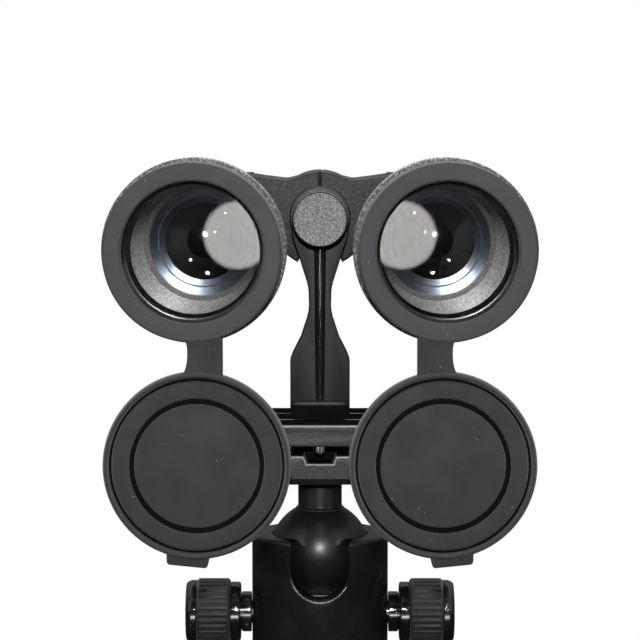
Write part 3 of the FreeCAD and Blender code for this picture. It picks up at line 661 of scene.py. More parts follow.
def cover(barrel):
    """The open cover, hanging from its strap with its inside to the front."""
    centre = Vector((barrel.axis.x - barrel.side * COVER_SHIFT, 0, barrel.axis.z - COVER_DROP))
    face = barrel.place("cover_ring").low.y - 0.1
    back, rise = face + 6.0, face - 1.2
    plateau, rim, groove = COVER_PLATEAU, COVER_RADIUS, COVER_GROOVE
    profile = [(face, 0), (face, groove - 0.95, 0.4), (face + 2.2, groove - 0.5, 0.4),
               (face + 2.2, groove + 0.5, 0.4), (face, groove + 0.95, 0.4), (face, plateau - 0.3, 0.6),
               (face + 1.5, plateau + 0.1, 0.3), (face + 1.5, plateau + 0.85, 0.3),
               (rise + 0.25, rim - 1.35, 0.4), (rise + 0.1, rim - 0.55, 0.5), (rise + 1.5, rim, 0.8),
               (back - 0.9, rim, 0.9), (back, rim - 1.6, 0.9), (back, 24.6, 0.5), (back - 0.5, 24.0, 0.4),
               (back - 0.5, 0)]
    solid = Solid().turned("Y", profile, centre, 192)
    start = len(solid.verts)
    tab = mirrored([(-6.9, -24.0), (-6.5, -28.6, 1.5), (-6.15, -31.0, 1.3)])
    solid.plate("Y", tab, face + 0.9, back - 1.2, 0.6)
    lean = Matrix.Rotation(radians(-barrel.side * COVER_LEAN), 4, "Y")
    solid.moved(Matrix.Translation(centre) @ lean, start)
    barrel.piece("cover_rubber", solid, "cover", COVER_RUBBER_PAINTED_DARKER, "cover_rubber", "cover")
    # near-black rings in the bottoms of the face's two grooves: painted shade where the grooves fall dark
    shade = Solid()
    floor_y = face + 2.4
    for radius, half, depth in ((groove, 0.72, 0.28), (plateau + 0.47, 0.34, 0.9)):
        near, far = radius - half, radius + half
        shade.turned("Y", [(face + depth, near), (face + depth, far), (floor_y, far), (floor_y, near)],
                     centre, 192)
    barrel.piece("cover_groove_painted_shade", shade, "cover", BLACK_RUBBER_AND_SHADE, "cover_rubber")


def objective(barrel):
    """Retaining ring with spanner slots, coated front lens, and the ribbed tube behind it."""
    axis = barrel.axis
    ring = barrel.place("objective_ring")
    front, back, outer = ring.low.y, ring.high.y, ring.size.x / 2

    def slots(turn, along, radius):
        """Four slots for a spanner, cut from the opening into the front face."""
        half_slot, depth = 0.8, 1.2
        across = abs((turn / (pi / 2)) % 1 - 0.5) * pi / 2 * radius
        return 0.9 if across < half_slot and radius < outer - depth and along < front + depth else 0

    profile = [(front, 21.9, 0.2), (front, outer - 0.4, 0.2), (front + 0.4, outer, 0.2), (back, outer, 0.2)]
    for start, end, radius in ((0, 0.9, 20.3), (1.0, 1.9, 20.9), (2.1, 3.1, 21.4)):
        profile += [(back - start, radius, 0.15), (back - end, radius, 0.15)]
    profile.append((back - 3.3, 21.9, 0.15))
    barrel.piece("lens_retainer", Solid().turned("Y", profile, axis, 288, shape=slots), "barrel",
                 TURNED_BLACK, "anodised", "objective_ring")

    lens = barrel.place("objective_lens")
    edge = lens.size.x / 2
    sag = edge * edge / 2 / LENS_CURVE
    curves = [(lens.low.y + sag * (k / 24) ** 2, edge * k / 24) for k in range(25)]
    curves += [(lens.high.y - 0.8 * (1 - (k / 12) ** 2), edge * k / 12) for k in range(12, -1, -1)]
    thing = barrel.piece("front_lens", Solid().turned("Y", curves, axis, 128, closed=False), "barrel", GLASS,
                         "lens", "objective_lens", angle=50)
    thing.visible_shadow = False

    tube = barrel.place("baffle")
    start, end = tube.low.y, tube.high.y
    pitch = (end - 6 - start) / BAFFLE_RIBS
    profile = []
    for k in range(BAFFLE_RIBS):
        y = start + k * pitch
        reach = 20.15 - 0.02 * k
        profile += [(y, reach), (y + pitch * 0.5, reach - 0.28), (y + pitch * 0.55, reach)]
    profile += [(end - 6, 19.2), (end - 5.4, 17.4, 0.2), (end - 4.9, 17.4, 0.2), (end - 4.3, 19.0),
                (end, 19.6), (end, 20.7), (start, 20.9)]
    barrel.piece("baffle_tube", Solid().turned("Y", profile, axis, 160), "barrel", BAFFLE, "anodised",
                 "baffle", angle=20)


def dish(barrel):
    """Polished inner face of the focusing cell's mount, which shows through the objective."""
    steps = [(0, 20.4), (0.2, 19.0, 0.3), (1.6, 18.3, 0.6), (1.9, 17.7, 0.3), (4.4, 15.4, 2.0),
             (4.6, 14.8, 0.3), (6.6, 13.2, 1.2), (6.8, 12.9, 0.2), (7.2, 12.9, 0.2), (7.2, 20.4)]
    start = barrel.place("baffle").high.y + 0.4
    profile = [(start + along, *rest) for along, *rest in steps]
    barrel.piece("inner_stop", Solid().turned("Y", profile, barrel.axis, 160), "barrel", POLISHED, "anodised",
                 angle=60)


# ---------------------------------------------------------------- barrel, bridge and armour

SHELL = [(-71.8, 25.3), (-58.0, 25.3), (-36.0, 23.2), (-10.0, 22.8), (-2.0, 23.4), (38.0, 23.4), (46.0, 20.0),
         (50.0, 18.2)]
BORE = [(50.0, 16.0), (44.5, 16.0), (40.0, 21.5), (-2.0, 21.5), (-10.0, 20.95), (-55.0, 21.2), (-56.5, 19.7),
        (-57.5, 19.7), (-57.5, 21.56), (-66.15, 21.56), (-66.15, 23.7), (-71.8, 23.7)]
HINGE = Vector((0, 0, Place("hinge_shaft").middle.z))
DRUM = 16.2
KNUCKLE = 9.0
PIN = 5.05
TUBE_ROOM = 22.3
LUGS = {"front": (-11.0, 3.0), "rear": (18.0, 30.0)}
KNUCKLES = {
    1: {"front": [(-6.2, -1.8)], "rear": [(21.9, 26.1)]},
    -1: {"front": [(-11.0, -6.4), (-1.6, 3.0)], "rear": [(18.0, 21.7), (26.3, 30.0)]},
}
THUMB_RIBS = (-33, 34)
THUMB_TURN = 0.95
THUMB_PITCH = 0.19
THUMB_HEIGHT = 0.45
ARMOR_INSIDE = 23.6


def barrel_body(barrel):
    """Metal tube of one barrel, with its bores."""
    profile = [(a, r, 0.8) for a, r in SHELL] + [(a, r, 0.1) for a, r in BORE]
    barrel.piece("tube", Solid().turned("Y", profile, barrel.axis, 160), "barrel", SHELL_BLACK, "bridge",
                 "body")


def lug_outline(side, shift=0.0):
    """One half of the bridge, seen from the front: the drum round the hinge and the arm to the barrel."""
    split = 0.14 + side * shift
    top = degrees(acos(split / (DRUM - 1.0)))
    points = arc((0, 0), DRUM - 1.0, top, 61, 14)
    points += [(11.0, 12.35, 5), (18.6, 13.3, 3), (22.6, 13.95, 0.4), (23.0, 14.35, 0.3), (30.5, 14.0, 0.6),
               (31.3, 12.6, 0.8), (33.5, 10.5), (33.5, 2.0), (24, -8.0, 1.5), (16.8, -11.2, 2.5)]
    points += arc((0, 0), DRUM, -46, -63.5, 10)
    points += [(4.5, -8.3, 0.8), (split, -8.6, 0.1)]
    return [(side * x, HINGE.z + height, *rest) for x, height, *rest in points]


def bridge(barrel):
    """The two lugs of one barrel and its knuckles, threaded on the hinge's pin."""
    outer = KNUCKLE + 0.28
    for name, (front, back) in LUGS.items():
        shift = 0.0 if name == "front" else 0.8
        lug = Solid().plate("Y", lug_outline(barrel.side, shift), front, back, 0.7)
        room = rod("Y", front - 1, back + 1, KNUCKLE + 0.3, HINGE, 96)
        clear = rod("Y", front - 1, back + 1, TUBE_ROOM, barrel.axis, 96)
        barrel.piece(name + "_lug", lug, "barrel", BRIDGE, "bridge", cutters=[room, clear])
        rings = Solid()
        for a, b in KNUCKLES[barrel.side][name]:
            rings.turned("Y", [(a, PIN, 0.3), (a, outer, 0.4), (b, outer, 0.4), (b, PIN, 0.3)], HINGE, 96)
        barrel.piece(name + "_knuckles", rings, "barrel", BRIDGE, "bridge")


def armor(barrel):
    """Rubber skin with a pebbled surface, moulded thumb ribs and rolled ends."""
    outer = [(-61.4, 27.6, 0.3), (-61.2, 28.35, 0.7), (-50, 28.35, 6), (-45.5, 27.8, 6), (-30, 25.3, 8),
             (-14, 24.8, 8), (-4, 25.2, 5), (3, 25.6, 4), (36, 25.6, 4), (43, 23.0, 3), (46.2, 21.3, 0.8),
             (46.9, 20.6, 0.4)]
    inner = [(46.9, 19.7), (46.0, 20.05), (38.0, 23.45), (-2.0, 23.45), (-10.0, 22.85), (-36.0, 23.25),
             (-58.0, 25.35), (-61.4, 25.35)]
    fine = []
    for start, end in zip(outer, outer[1:]):
        fine.append(start)
        steps = int((end[0] - start[0]) / 1.5)
        for k in range(1, steps):
            t = k / steps
            if 0.25 < t < 0.75:
                fine.append((start[0] + (end[0] - start[0]) * t, start[1] + (end[1] - start[1]) * t))
    fine.append(outer[-1])
    first, last = THUMB_RIBS

    def ribs(turn, along, radius):
        """Long thumb ribs on the outer and upper quarter, fading out at their ends."""
        if radius < ARMOR_INSIDE or not first < along < last:
            return 0
        outwards = turn if barrel.side > 0 else pi - turn
        outwards = (outwards + pi) % (2 * pi) - pi
        if abs(outwards) > THUMB_TURN:
            return 0
        fade = min(1, (along - first) / 3, (last - along) / 3, (THUMB_TURN - abs(outwards)) / 0.08)
        return THUMB_HEIGHT * fade * max(0.0, cos(outwards * 2 * pi / THUMB_PITCH)) ** 0.6

    solid = Solid().turned("Y", fine + inner, barrel.axis, 288, shape=ribs)
    outline = lug_outline(barrel.side)
    rooms = [Solid().plate("Y", outline, front - 0.25, back + 0.25, 0.3) for front, back in LUGS.values()]
    barrel.piece("armor_skin", solid, "barrel", ARMOR, "armor", "armor", cutters=rooms)


# ---------------------------------------------------------------- eyepiece end

def eyecup(barrel):
    """Twist-up rubber eyecup with a rolled rim and grip ribs, and the eyepiece."""
    axis = barrel.axis
    place = barrel.place("eyecup")
    start, end = place.low.y, place.high.y

    def grip(turn, along, radius):
        if radius < 19.9 or not start + 1.4 < along < start + 9:
            return 0
        return -0.3 * max(0.0, cos(turn * EYECUP_RIBS)) ** 2

    profile = [(start, 17.92, 0.1), (start, 19.8, 0.5), (start + 0.8, 20.6, 0.5), (start + 1.6, 20.55),
               (start + 4.5, 20.5), (start + 8.8, 20.4), (start + 9.6, 20.3, 0.3),
               (start + 10.2, 19.8, 0.3), (start + 11.0, 20.3, 0.3), (end - 3.6, 20.15, 2.2),
               (end - 1.0, 19.3, 1.4), (end - 0.1, 17.9, 0.8), (end - 0.6, 16.4, 0.8), (end - 6, 14.6, 1.2),
               (end - 9.7, 14.4, 0.3), (end - 9.7, 17.92, 0.1)]
    barrel.piece("eyecup_rubber", Solid().turned("Y", profile, axis, 288, shape=grip), "eyecup", EYECUP,
                 "eyecup", "eyecup")
    tube = barrel.place("eyepiece")
    a, b = tube.low.y, tube.high.y
    profile = [(a, 13.25), (a, 15.85, 0.4), (b, 15.85, 0.4), (b, 12.6, 0.3)]
    for k in range(4):
        y = b - 0.9 - 0.8 * k
        profile += [(y, 12.3 + 0.12 * k, 0.1), (y - 0.45, 12.2 + 0.12 * k, 0.1)]
    profile.append((b - 4.05, 13.25))
    barrel.piece("eyepiece_tube", Solid().turned("Y", profile, axis, 128), "barrel", ANODISED, "anodised",
                 "eyepiece")
    lens = barrel.place("eye_lens")
    edge, y0, y1 = lens.size.x / 2, lens.low.y, lens.high.y
    curves = [(y0, edge * k / 12) for k in range(13)]
    curves += [(y1 - 2.2 * (k / 14) ** 2, (edge - 0.4) * k / 14) for k in range(14, -1, -1)]
    thing = barrel.piece("eye_lens_glass", Solid().turned("Y", curves, axis, 96, closed=False), "barrel",
                         GLASS, "lens", "eye_lens", angle=50)
    thing.visible_shadow = False


def diopter():
    """Click ring on one eyepiece, with a raised index and graduation ticks."""
    place = Place("diopter_ring")
    axis = Vector((place.middle.x, 0, place.middle.z))
    a, b, outer = place.low.y, place.high.y, place.size.x / 2

    def knurl(turn, along, radius):
        from_top = abs((turn - pi / 2 + pi) % (2 * pi) - pi)
        return 0 if radius < outer - 0.35 or from_top < 0.28 else -0.22 * max(0.0, cos(turn * DIOPTER_RIBS))

    profile = [(a, 19.85, 0.1), (a, outer - 0.6, 0.2), (a + 0.6, outer, 0.2), (b - 0.6, outer, 0.2),
               (b, outer - 0.5, 0.2), (b, 18.6, 0.2), (b - 0.6, 18.6, 0.2)]
    piece("diopter_grip", Solid().turned("Y", profile, axis, 480, shape=knurl), "diopter", GRIP, "grip",
          ["diopter_ring"])
    ticks = Solid()
    middle = (a + b) / 2
    for k in range(-3, 4):
        half = (1.5 if k == 0 else 0.9) / 2
        start = len(ticks.verts)
        ticks.bar((-0.12, middle - half, outer - 0.12), (0.12, middle + half, outer + 0.03), 0.04)
        ticks.moved(Matrix.Translation(axis) @ Matrix.Rotation(radians(k * 4.2), 4, "Y"), start)
    piece("diopter_ticks", ticks, "diopter", PAINT, "grip")


def focus_wheel():
    """Ribbed rubber grip on the focusing wheel, with a dished metal end."""
    grip = Place("focus_grip")
    wheel = Place("focus_wheel")
    a, b, outer = grip.low.y, grip.high.y, grip.size.x / 2

    def ribbed(turn, along, radius):
        return 0 if radius < outer - 0.75 else -0.75 * max(0.0, cos(turn * WHEEL_RIBS)) ** 3

    profile = [(a, 11.45), (a, 12.5, 0.3), (a + 0.7, outer, 0.4), (b - 0.7, outer, 0.4), (b, 12.5, 0.3),
               (b, 11.45)]
    piece("focus_grip_rubber", Solid().turned("Y", profile, HINGE, 480, shape=ribbed), "focus_wheel", GRIP,
          "grip", ["focus_grip"])
    a, b = wheel.low.y, wheel.high.y
    profile = [(a, 2.7), (a, 10.4, 0.3), (a + 0.9, 11.4, 0.3), (b - 0.9, 11.4, 0.4), (b, 10.4, 0.4),
               (b, 9.2, 0.3), (b - 0.7, 8.4, 0.4), (b - 0.9, 4.6, 1.0), (b - 0.2, 3.9, 0.3), (b - 0.1, 2.7)]
    piece("focus_wheel_core", Solid().turned("Y", profile, HINGE, 128), "focus_wheel", TURNED_BLACK,
          "anodised", ["focus_wheel"])


# ---------------------------------------------------------------- bracket and its knob

def bracket():
    """L bracket: an eye round the hinge, a grooved waist that widens to a foot, and a raised toe."""
    place = Place("bracket")
    up = HINGE.z
    front, base = place.low.y, place.low.z
    thickness, toe_rise = 6.0, 5.6
    back, toe_top = front + thickness, base + toe_rise
    half = 9.7
    waist = [(9.0, -6.3, 5), (6.9, -12.2, 9), (3.75, -22.2, 12), (3.55, -30.2, 14), (6.3, -38.5, 4),
             (8.9, -43.6, 1.6), (half, -45.8, 2.2)]
    edges = [(-x, up + height, radius) for x, height, radius in waist] + [(-half, toe_top + 0.4, 1.0)]
    points = [(x, up + height) for x, height in arc((0, 0.5), 9.9, -18, 198, 48)] + mirrored(edges)
    upright = Solid().plate("Y", points, front, back, 0.45)

    top, bottom = up - 9.0, up - 59.4
    groove = mirrored([(-1.6, top), (-1.1, bottom + 1.2, 1.5), (-0.5, bottom, 0.8)])
    groove = anticlockwise(rounded(groove))
    layers = ((-0.6, 0.75), (0.0, 0.32), (0.35, 0.06), (0.8, 0.0), (1.25, -0.2), (1.45, -0.42))
    channel = Solid().skin([[Vector((p.x, front + depth, p.y)) for p in grown(groove, wide)]
                            for depth, wide in layers])
    stud = rod("Y", front - 1, back + 1, 3.3, HINGE, 48)
    piece("bracket_upright", upright, "plate", BRACKET, "bracket", ["bracket"], cutters=[channel, stud])

    count = 16
    rows = []
    turns = [pi * (0.5 - k / 10) for k in range(11)]
    for k in range(count + 1):
        z = top + (bottom - top) * (0.02 + 0.96 * k / count)
        share = k / count
        wide = 1.28 - 0.5 * share
        rows.append([Vector((wide * sin(t), front + 1.62 - 0.5 * cos(t), z)) for t in turns]
                    + [Vector((-wide, front + 1.8, z)), Vector((wide, front + 1.8, z))])
    piece("bracket_groove_floor", Solid().skin(rows), "plate", GLOSS_BLACK, "bracket")

    toe = [(front - 0.6, toe_top - 0.6, 0.9), (front - 0.45, toe_top + 0.9, 1.1),
           (front + 1.2, toe_top + 1.2), (17.5, toe_top, 1.2), (17.5, base + 0.05, 0.3),
           (front + 2.4, base + 0.05, 0.4)]
    profile = anticlockwise(rounded(toe))
    ends = mirrored([(-half, 0.75), (-half + 0.4, 0.45), (-half + 1.0, 0.16), (-half + 1.8, 0.0)])
    foot = Solid().skin([[Vector((x, p.x, p.y)) for p in grown(profile, -inset)] for x, inset in ends])
    screw_head = rod("Z", toe_top - 1.2, toe_top + 3, 4.2)
    piece("bracket_foot", foot, "plate", BRACKET, "bracket", cutters=[screw_head])


def bracket_knob():
    """Cast knob: a grained face with a bright rim, fine teeth round its edge, and a dark toothed ring of
    painted shade in the gap behind the face.
    """
    place = Place("bracket_knob")
    front, outer = place.low.y, place.size.x / 2
    back = Place("bracket").low.y - 0.1

    def teeth(depth, reach):
        def shape(turn, along, radius):
            return -depth * (0.5 + 0.5 * cos(turn * BRACKET_KNOB_TEETH)) if radius > outer - reach else 0
        return shape

    profile = [(front + 0.12, 0), (front + 0.12, outer - 1.05, 0.15), (front, outer - 0.85, 0.2),
               (front + 0.1, outer - 0.62, 0.2), (front + 0.7, outer - 0.5, 0.2),
               (front + 1.3, outer - 0.48, 0.1), (front + 1.5, outer - 0.05, 0.2),
               (back - 1.2, outer - 0.05, 0.3), (back - 0.7, outer - 0.6, 0.2), (back - 0.7, 7.0, 0.2),
               (back, 7.0, 0.2), (back, 3.1, 0.2), (1.2, 3.1, 0.4), (1.2, 0)]
    knob = Solid().turned("Y", profile, HINGE, 432, shape=teeth(0.4, 0.3))
    piece("bracket_knob_cast", knob, "bracket_knob", CAST, "knob", ["bracket_knob"], angle=30)
    # a near-black toothed ring in the gap between the face and the toothed flange: painted shade
    near, far = front + 0.4, front + 1.2
    band = [(near, outer - 0.6), (near, outer - 0.12), (far, outer - 0.12), (far, outer - 0.6)]
    ring = Solid().turned("Y", band, HINGE, 432, shape=teeth(0.25, 0.4))
    piece("bracket_knob_toothed_shade", ring, "bracket_knob", BLACK_RUBBER_AND_SHADE, "knob")


# ---------------------------------------------------------------- plate and clamp

def quick_release_plate():
    """Dovetail plate with a ribbed rubber pad, and its two stop screws."""
    place = Place("qr_plate")
    low, high = place.low, place.high
    half = place.size.x / 2
    head = 7.2
    edges = [(half, low.z, 0.3), (half, low.z + 1.2, 0.3), (half - 2.6, low.z + 3.8, 0.3),
             (half - 2.6, low.z + 4.9, 0.3), (half, low.z + 5.5, 0.3), (half, high.z, 0.5)]
    piece("release_plate", Solid().plate("Y", mirrored(edges), low.y, high.y, 0.5), "plate", CLAMP, "clamp",
          ["qr_plate"], cutters=[rod("Z", low.z - 1, low.z + 4, head)])

    pad = Place("plate_pad")
    ribs = Solid()
    ribs.bar((pad.low.x, pad.low.y, pad.low.z - 0.3), (pad.high.x, pad.high.y, pad.high.z - 0.45), 0.2)
    pitch = 1.9
    starts = [pad.low.y + 0.1 + k * pitch for k in range(int((pad.size.y - 1) / pitch) + 1)]
    for y in starts:
        end = min(y + 1.15, pad.high.y - 0.05)
        ribs.bar((pad.low.x + 0.2, y, pad.low.z), (pad.high.x - 0.2, end, pad.high.z), 0.3, "X")
    piece("plate_pad_rubber", ribs, "plate", BLACK_RUBBER_AND_SHADE, "cover_rubber", ["plate_pad"])
    # pale strips along two ridges of the pad and the plate's top front edge: painted highlights where these
    # edges catch the light
    lines = Solid()
    for y in (starts[2], starts[11]):
        lines.bar((pad.low.x + 0.6, y - 0.04, pad.high.z - 0.32),
                  (pad.high.x - 0.6, y + 0.2, pad.high.z - 0.02), 0)
    lines.bar((-half + 0.8, low.y - 0.02, high.z - 0.62), (half - 0.8, low.y + 0.2, high.z - 0.32), 0)
    piece("plate_painted_edge_highlight", lines, "plate", EDGE_HIGHLIGHT_PAINT, "clamp")

    stops = Place("plate_stop_screws")
    foot = stops.low.z
    head_top = foot + 2.4
    ribs_end, inside_plate = 87.2, 90.5

    def knurl(turn, along, radius):
        ribbed = radius > 1.3 and along < ribs_end
        return -0.18 * (0.5 + 0.5 * cos(turn * STOP_SCREW_RIBS)) if ribbed else 0

    profile = [(foot, 0), (foot, 1.1, 0.1), (foot + 0.4, 1.1, 0.1), (foot + 0.4, 1.62, 0.2),
               (head_top, 1.62, 0.2), (head_top, 1.2), (inside_plate, 1.2), (inside_plate, 0)]
    screws = Solid()
    for y in (stops.low.y + 1.7, stops.high.y - 1.7):
        screws.turned("Z", profile, Vector((0, y, 0)), 112, shape=knurl)
    piece("stop_screws", screws, "plate", STEEL, "steel", ["plate_stop_screws"])


def clamp():
    """Channel of the clamp with its fixed jaw, the sliding jaw, and the knob that draws it in."""
    base = Place("clamp_base")
    front, back = base.low.y, base.high.y
    low, high = base.low.z, base.high.z
    left, half, floor, rail = base.low.x, base.high.x, high - 7.5, high - 4.55
    throat, undercut = 16.8, 19.4
    tooth = [(throat, high, 0.4), (throat, high - 0.5, 0.3), (undercut, high - 3.1, 0.3),
             (undercut, rail, 0.2)]
    outline = [(left, low + 1.5, 0.3), (left + 1.5, low, 0.8), (half - 1.5, low, 0.8), (half, low + 1.5, 0.8),
               (half, high, 1.2)]
    outline += tooth + mirrored([(9.5, rail), (9.5, floor, 0.4)]) + [(left, rail, 0.3)]
    body = Solid().plate("Y", outline, front, back, 0.4)
    notch = mirrored([(-6.4, floor + 1.2), (-5.15, floor - 0.1, 0.9), (-4.15, floor - 2.4, 0.8)])
    cutters = [Solid().plate("Y", notch, *span, 0.1) for span in ((front - 1, -8), (8, back + 1))]
    leg = 2.2
    slopes = []
    for y, inwards in ((front, 1), (back, -1)):
        corner = [(y - inwards, low + leg + 1), (y + inwards * (leg + 1), low - 1), (y - inwards, low - 1)]
        slopes.append(Solid().skin([[Vector((x, a, b)) for a, b in corner] for x in (-30, 30)]))
    cutters += slopes + [rod("Z", low + 4.7, floor + 1, 5.3)]
    piece("clamp_channel", body, "ball", CLAMP, "clamp", ["clamp_base"], cutters=cutters)

    # a pale strip round the notch's edges on the clamp's front: a painted highlight
    above = mirrored([(-9.3, 0.3), (-6.1, 0.3), (-5.3, 0.6), (-4.5, 2.7)])
    below = mirrored([(9.3, 0.6), (5.9, 0.6), (5.4, 0.8), (4.7, 3.0)])
    edge = [(x, floor - drop) for x, drop in above + below]
    piece("clamp_painted_edge_highlight", Solid().plate("Y", edge, front - 0.02, front + 0.2, 0), "ball", EDGE_HIGHLIGHT_PAINT, "clamp")
    # near-black sheets over the channel's floor and the notch's sides, back wall and bottom: painted shade
    # where these hollows fall dark
    near, top = front + 0.5, floor + 0.12
    shade = Solid().bar((-9.4, -8.0, floor + 0.02), (9.4, back - 0.9, top), 0)
    for left_end, right_end in ((-9.4, -5.35), (5.35, 9.4)):
        shade.bar((left_end, near, floor + 0.02), (right_end, -8.1, top), 0)
    shade.bar((-5.0, -8.2, floor - 2.3), (5.0, -8.05, floor), 0)
    shade.bar((-4.2, near, floor - 2.38), (4.2, -8.3, floor - 2.28), 0)
    piece("clamp_channel_floor", shade, "ball", BLACK_RUBBER_AND_SHADE, "clamp")

    left = Place("clamp_jaw").low.x
    outline = [(left, low + 1.5, 0.8), (left + 1.5, low, 0.8), (-throat, low, 0.3), (-throat, rail, 0.2)]
    outline += mirrored(tooth)[len(tooth):] + [(left, high, 1.2)]
    piece("sliding_jaw", Solid().plate("Y", outline, front, back, 0.4), "clamp_jaw", CLAMP, "clamp",
          ["clamp_jaw"], cutters=slopes)

    knob = Place("clamp_knob")
    a, b, outer = knob.low.x, knob.high.x, knob.size.z / 2

    def lobes(turn, along, radius):
        return -0.9 * max(0.0, cos(turn * CLAMP_KNOB_LOBES)) ** 1.5 if radius > outer - 1.2 else 0

    profile = [(b, 2.65), (b, 5.5, 0.3), (b - 1.7, 5.5, 0.3), (b - 1.7, outer - 0.5, 0.3),
               (b - 2.5, outer, 0.4), (a + 0.8, outer, 0.6), (a, outer - 1.0, 0.5), (a, 5.6, 0.3),
               (a + 0.5, 5.0, 0.3), (a + 0.5, 2.65)]
    axis = Vector((0, knob.middle.y, knob.middle.z))
    piece("clamp_knob_cast", Solid().turned("X", profile, axis, 288, shape=lobes), "clamp_knob", CLAMP,
          "clamp", ["clamp_knob"])


# ---------------------------------------------------------------- ball head

def ball_and_stem():
    """Enamelled ball, its stem with a shoulder, and the flat under the ball."""
    centre = Place("friction_cup").middle
    place = Place("ball")
    middle_z, flat = 50.0, 35.2
    radius = place.size.x / 2
    neck = 7.3
    top = place.high.z
    profile = [(flat, 0)]
    start = acos((middle_z - flat) / radius)
    end = pi - asin((neck + 0.9) / radius)
    steps = 60
    for k in range(steps + 1):
        t = start + (end - start) * k / steps
        profile.append((middle_z - radius * cos(t), radius * sin(t)))
    join = profile[-1][0]
    profile += [(join + 0.35, neck + 0.75, 0.2), (join + 0.9, neck, 0.4), (top - 0.5, neck, 0.4),
                (top, neck - 0.5, 0.3), (top, 0)]
    solid = Solid().turned("Z", profile, Vector((centre.x, centre.y, 0)), 160)
    recess = Solid().plate("Y",
                           [(-2.5, top - 1.4, 0.3), (2.5, top - 1.4, 0.3), (1.9, top + 1), (-1.9, top + 1)],
                           -neck - 1, -neck + 1.6, 0.1)
    piece("ball_and_stem", solid, "ball", BALL, "ball", ["ball"], cutters=[recess])


def housing():
    """Cup of the ball head, with a drop slot in its front wall and a rounded lip all round."""
    place = Place("head_housing")
    outer = place.size.x / 2
    rim, low = place.high.z, place.low.z
    mouth, bore = 15.9, 19.3
    half, slot_bottom = 9.15, 37.8
    corner, lip, inner_lip = 1.1, 1.3, 0.6
    slot_turn = asin(half / outer)
    around = 2 * pi * outer

    # the rim's path, unrolled: arc length from the slot's middle, and height
    left, right = (2 * pi - slot_turn) * outer, (2 * pi + slot_turn) * outer
    high_z, low_z = rim - corner, slot_bottom + half
    wide = 2 * pi - 2 * slot_turn - 2 * corner / outer
    quarter = [pi / 2 * k / 6 for k in range(7)]
    path = [((slot_turn + corner / outer + wide * k / 150) * outer, rim) for k in range(151)]
    path += [(left - corner + corner * sin(t), high_z + corner * cos(t)) for t in quarter[1:]]
    path += [(left, high_z + (low_z - high_z) * k / 12) for k in range(1, 13)]
    path += [(around - slot_turn * outer * cos(t), low_z - half * sin(t))
             for t in (pi * k / 48 for k in range(1, 49))]
    path += [(right, low_z + (high_z - low_z) * k / 12) for k in range(1, 13)]
    path += [(right + corner - corner * cos(t), high_z + corner * sin(t)) for t in quarter[1:-1]]
    path = [Vector(p) for p in path]
    count = len(path)

    normals = []
    for i in range(count):
        ahead = path[(i + 1) % count] + Vector((around if i == count - 1 else 0, 0))
        behind = path[i - 1] - Vector((around if i == 0 else 0, 0))
        step = (ahead - behind).normalized()
        normals.append(Vector((step.y, -step.x)))

    def at(p, radius):
        """The point at arc length p.x and height p.y, at a radius; the slot's walls stay parallel."""
        turn = p.x / outer
        x = outer * sin(turn)
        near_slot = abs((turn + pi) % (2 * pi) - pi) < slot_turn + 0.06
        if near_slot and abs(x) < radius:
            return Vector((x, -sqrt(radius * radius - x * x), p.y))
        return Vector((radius * sin(turn), -radius * cos(turn), p.y))

    def row(grow, radius):
        return [at(p + n * grow, radius) for p, n in zip(path, normals)]

    foot_row = [Vector((path[0].x + around * i / count, low + 1.0)) for i in range(count)]
    rows = []
    for k in range(14):
        t = (k / 14) ** 0.8
        rows.append([at(f.lerp(p + n * lip, t), outer) for f, p, n in zip(foot_row, path, normals)])
    rows += [row(lip * (1 - sin(t)), outer - lip * (1 - cos(t))) for t in quarter]
    rows += [row(inner_lip * (1 - cos(t)), mouth + inner_lip * (1 - sin(t)))
             for t in (pi / 2 * k / 4 for k in range(5))]
    for k in range(1, 8):
        rows.append([at((p + n * inner_lip).lerp(f, k / 7), bore)
                     for f, p, n in zip(foot_row, path, normals)])
    inwards = (outer - 1) / outer
    chamfer = [Vector((v.x * inwards, v.y * inwards, low)) for v in rows[0]]
    inner_foot = [Vector((v.x, v.y, low)) for v in rows[-1]]
    solid = Solid().skin([chamfer] + rows + [inner_foot], loop=True, caps=False)
    piece("housing_cup", solid, "head", HOUSING, "housing", ["head_housing"], angle=28)


def side_knob(name, side):
    """One of the two side knobs: shaft, collar, ribbed rubber grip and end cap."""
    grip = Place(name + "_grip")
    core = Place(name + "_knob")
    axis = Vector((0, core.middle.y, core.middle.z))
    outer = grip.size.z / 2

    def outwards(profile):
        return [(side * along, *rest) for along, *rest in profile]

    profile = [(19.5, 0), (19.5, 3.9), (22.9, 3.9, 0.1), (22.9, 6.7, 0.3), (26.0, 6.7, 0.3), (26.0, 6.2, 0.1),
               (26.5, 6.2, 0.1), (26.5, 9.9, 0.9), (29.8, 9.9, 0.3), (29.8, 8.8, 0.2), (41.15, 8.8, 0.2),
               (41.15, 10.5, 0.4), (43.0, 10.45, 1.2), (44.7, 9.6, 1.0), (44.7, 7.6, 0.3), (44.2, 7.0, 0.5),
               (44.2, 0)]
    piece(name + "_knob_core", Solid().turned("X", outwards(profile), axis, 144), name + "_knob",
          TURNED_BLACK, "anodised", [name + "_knob"])

    def ribbed(turn, along, radius):
        inside = 30.91 < abs(along) < 40.19
        return -0.42 * (0.5 + 0.5 * cos(turn * SIDE_KNOB_RIBS)) ** 2 if radius > outer - 0.5 and inside else 0

    profile = [(30.0, 8.85), (30.0, outer - 0.6, 0.4), (30.6, outer - 0.05, 0.3), (30.9, outer - 0.02),
               (31.2, outer), (35.5, outer), (39.9, outer), (40.2, outer - 0.02), (40.5, outer - 0.05, 0.3),
               (41.05, outer - 0.6, 0.4), (41.05, 8.85)]
    piece(name + "_grip_rubber", Solid().turned("X", outwards(profile), axis, 504, shape=ribbed),
          name + "_knob", GRIP, "grip", [name + "_grip"])


